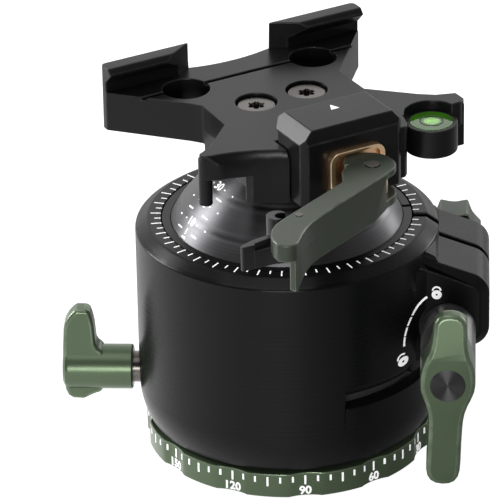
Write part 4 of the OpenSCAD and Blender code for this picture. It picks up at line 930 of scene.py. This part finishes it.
bm = bmesh.new()
for step in range(72):
    angle = SCALLOP - 5 * step
    tall = 2.1 if step % 3 == 0 else 1.35
    carry(add_bar(bm, 0, 4.75 - tall / 2, 0.42, tall), on_ring(angle))
for number in range(0, 360, 30):
    carry(add_digits(bm, str(number), 0, 1.22, 1.75), on_ring(SCALLOP - 30 - number))
printed("panning_scale", bm, "base")

# %% [markdown]
# The rim of the housing has its own ring of strokes, one every 5 degrees, long and short in turn, with
# their inner ends on one circle. They lie flat, so a turn about the axis places each one. The clamping slit
# takes the place of one stroke.

# %% Strokes on the rim
RIM_INNER = 26.05
RIM_TOP = Matrix.Translation((0, 0, 50.2 * MM))
SLIT_STEP = 36
bm = bmesh.new()
for step in range(72):
    if step == SLIT_STEP:
        continue
    reach = 2.1 if step % 2 == 0 else 1.25
    stroke = add_bar(bm, 0, RIM_INNER + reach / 2, 0.27, reach)
    turn = Matrix.Rotation(math.radians(148 + 5 * step - 90), 4, "Z")
    bmesh.ops.transform(bm, verts=stroke, matrix=RIM_TOP @ turn)
printed("rim_scale", bm, "housing")

# %% [markdown]
# On the ball, towards the level end of the clamp, a ladder shows the tilt: two columns of strokes with the
# angle between them. The strokes lie where planes through the tilt axis cut the ball. Flat x runs across
# the ladder and flat y towards the stem. The paint is thinner here, because it slides past the collet.

# %% Tilt ladder on the ball
BALL = Vector((0, 0, 37.5 * MM))
BALL_R = 27.0 * MM
LADDER_Y = 1.2 * MM
THIN = 0.3
FIRST_TILT = 34.0
TILT_STEP = 4.87


def on_ball(tilt):
    """Carries flat points onto the ball at a tilt in degrees from the stem."""
    def place(x, y, depth):
        side = LADDER_Y - x
        lean = math.radians(tilt) - y / BALL_R
        spoke = math.sqrt(BALL_R ** 2 - side ** 2) + depth * THIN
        return BALL + Vector((-spoke * math.sin(lean), side, spoke * math.cos(lean)))
    return place


bm = bmesh.new()
for step in range(6):
    wide = 3.4 if step % 2 == 0 else 1.9
    tilt = FIRST_TILT + TILT_STEP * step
    for side in (-1, 1):
        carry(add_bar(bm, side * (2.1 + wide / 2), 0, wide, 0.3), on_ball(tilt))
    if step % 2 == 0:
        carry(add_digits(bm, str(30 - 5 * step), 0, 0, 1.8, weight=0.02), on_ball(tilt))
carry(add_bar(bm, 0, 0, 0.3, 1.35), on_ball(58.3))
carry(add_bar(bm, 0, 0, 1.5, 0.4), on_ball(61.2))
printed("tilt_ladder", bm, "clamp")

# %% [markdown]
# Beside the lock lever an arc in pieces runs from an open padlock to a closed one. It is printed with a
# soft pad that comes straight at the ear's front, so flat points are pushed back along that direction until
# they meet the ear's flat front or the round housing beside it.

# %% Lock arc on the ear
EAR_FILLET = 4 * MM
EAR_FLAT = 15 * MM
HOUSING_R = 31.35 * MM
fillet_x = math.sqrt((HOUSING_R + EAR_FILLET) ** 2 - (EAR_FLAT + EAR_FILLET) ** 2)


def on_ear(x, y, depth):
    """Carries flat points, x outwards along the ear and y up, to the front of the ear and housing."""
    front = max(EAR_FLAT, math.sqrt(max(0.0, HOUSING_R ** 2 - x * x)))
    if fillet_x * HOUSING_R / (HOUSING_R + EAR_FILLET) < x < fillet_x:
        front = EAR_FLAT + EAR_FILLET - math.sqrt(EAR_FILLET ** 2 - (fillet_x - x) ** 2)
    return EAR_OUT * x + EAR_FRONT * (front + depth) + Vector((0, 0, y))


def add_arc(bm, x, y, radius, width, start, end, cuts=12):
    """A ring piece round x, y, from start to end degrees, still flat."""
    strip = bmesh.ops.create_grid(bm, x_segments=1, y_segments=cuts, size=0.5)["verts"]
    flat = list({f for v in strip for f in v.link_faces})
    lifted = bmesh.ops.extrude_face_region(bm, geom=flat, use_keep_orig=True)["geom"]
    top = [item for item in lifted if isinstance(item, bmesh.types.BMVert)]
    bmesh.ops.translate(bm, verts=top, vec=(0, 0, PAINT))
    for v in strip + top:
        angle = math.radians(start + (end - start) * (v.co.y + 0.5))
        out = (radius + width * v.co.x) * MM
        v.co = Vector((x * MM + out * math.cos(angle), y * MM + out * math.sin(angle), v.co.z))
    return strip + top


arc_pieces = ((123.6, 147.4, 0.5), (149.3, 158.4, 0.42), (160.2, 169.9, 0.4), (171.2, 182.4, 0.38))
padlocks = ((31.0, 39.4, 0, 0, 180), (24.25, 26.55, -0.25, 45, 200))
bm = bmesh.new()
for start, end, width in arc_pieces:
    carry(add_arc(bm, 34.8, 30.3, 10.35, width, start, end), on_ear)
for x, y, hook_x, hook_start, hook_end in padlocks:
    carry(add_arc(bm, x, y, 0.64, 0.78, 0, 360, 24), on_ear)
    carry(add_arc(bm, x + hook_x, y + 0.95, 0.8, 0.36, hook_start, hook_end, 16), on_ear)
printed("lock_arc", bm, "housing")

# %% [markdown]
# A small white pointer on the movable jaw shows the middle of the clamp.

# %% Pointer on the jaw
JAW_TOP = 82.2 * MM
POINTER_R = 1.1 * MM
POINTER_Y = -19.6 * MM
bm = bmesh.new()
bmesh.ops.create_cone(bm, cap_ends=True, segments=3, radius1=POINTER_R, radius2=POINTER_R, depth=2 * PAINT)
bmesh.ops.scale(bm, verts=bm.verts, vec=(1, 1.3, 1))
bmesh.ops.translate(bm, verts=bm.verts, vec=(0, POINTER_Y, JAW_TOP - 0.99 * PAINT))
printed("jaw_pointer", bm, "jaw")

# %% [markdown]
# The level's bubble is a flattened lens of air just under the lid, and a thin black circle printed on the
# lid shows where it should stand. A squashed sphere makes the one, a flat ring the other.

# %% Bubble and circle of the level
LEVEL = Vector((21.9, -21.2, 74.5)) * MM
bm = bmesh.new()
bmesh.ops.create_uvsphere(bm, u_segments=32, v_segments=16, radius=1.75 * MM)
bmesh.ops.scale(bm, verts=bm.verts, vec=(1, 1, 0.18))
bmesh.ops.translate(bm, verts=bm.verts, vec=LEVEL + Vector((0.15, 0.1, -0.32)) * MM)
for face in bm.faces:
    face.smooth = True
# The bubble glows a little, and its pale green, patchy with noise, feeds that glow: painted light, it is no
# lamp.
bubble_air, tree, shader = new_finish("bubble_air", 0.0, Emission_Strength=0.25)
where = tree.nodes.new("ShaderNodeTexCoord")
glow_tone = spread(tree, noise(tree, (where, "Object"), 700, 1), *CORE, 0.85, 1.1)
pale = tree.nodes.new("ShaderNodeRGB")
pale.outputs[0].default_value = (0.2, 0.42, 0.09, 1)
painted_glow = shaded(tree, (pale, 0), glow_tone)
link(tree, painted_glow, (shader, "Base Color"))
link(tree, painted_glow, (shader, "Emission Color"))
film = spread(tree, noise(tree, (where, "Object"), 900, 1), *CORE, 0.12, 0.25)
link(tree, film, (shader, "Roughness"))
printed("level_bubble", bm, "clamp", bubble_air)
bm = bmesh.new()
circle = add_arc(bm, LEVEL.x / MM, LEVEL.y / MM, 2.3, 0.3, 0, 360, 48)
bmesh.ops.translate(bm, verts=circle, vec=(0, 0, LEVEL.z))
sign_black = satin("sign_black", (0.01, 0.012, 0.008), (0.01, 0.012, 0.008), 0.0, 0.45, fine=3500.0)
printed("level_circle", bm, "clamp", sign_black)
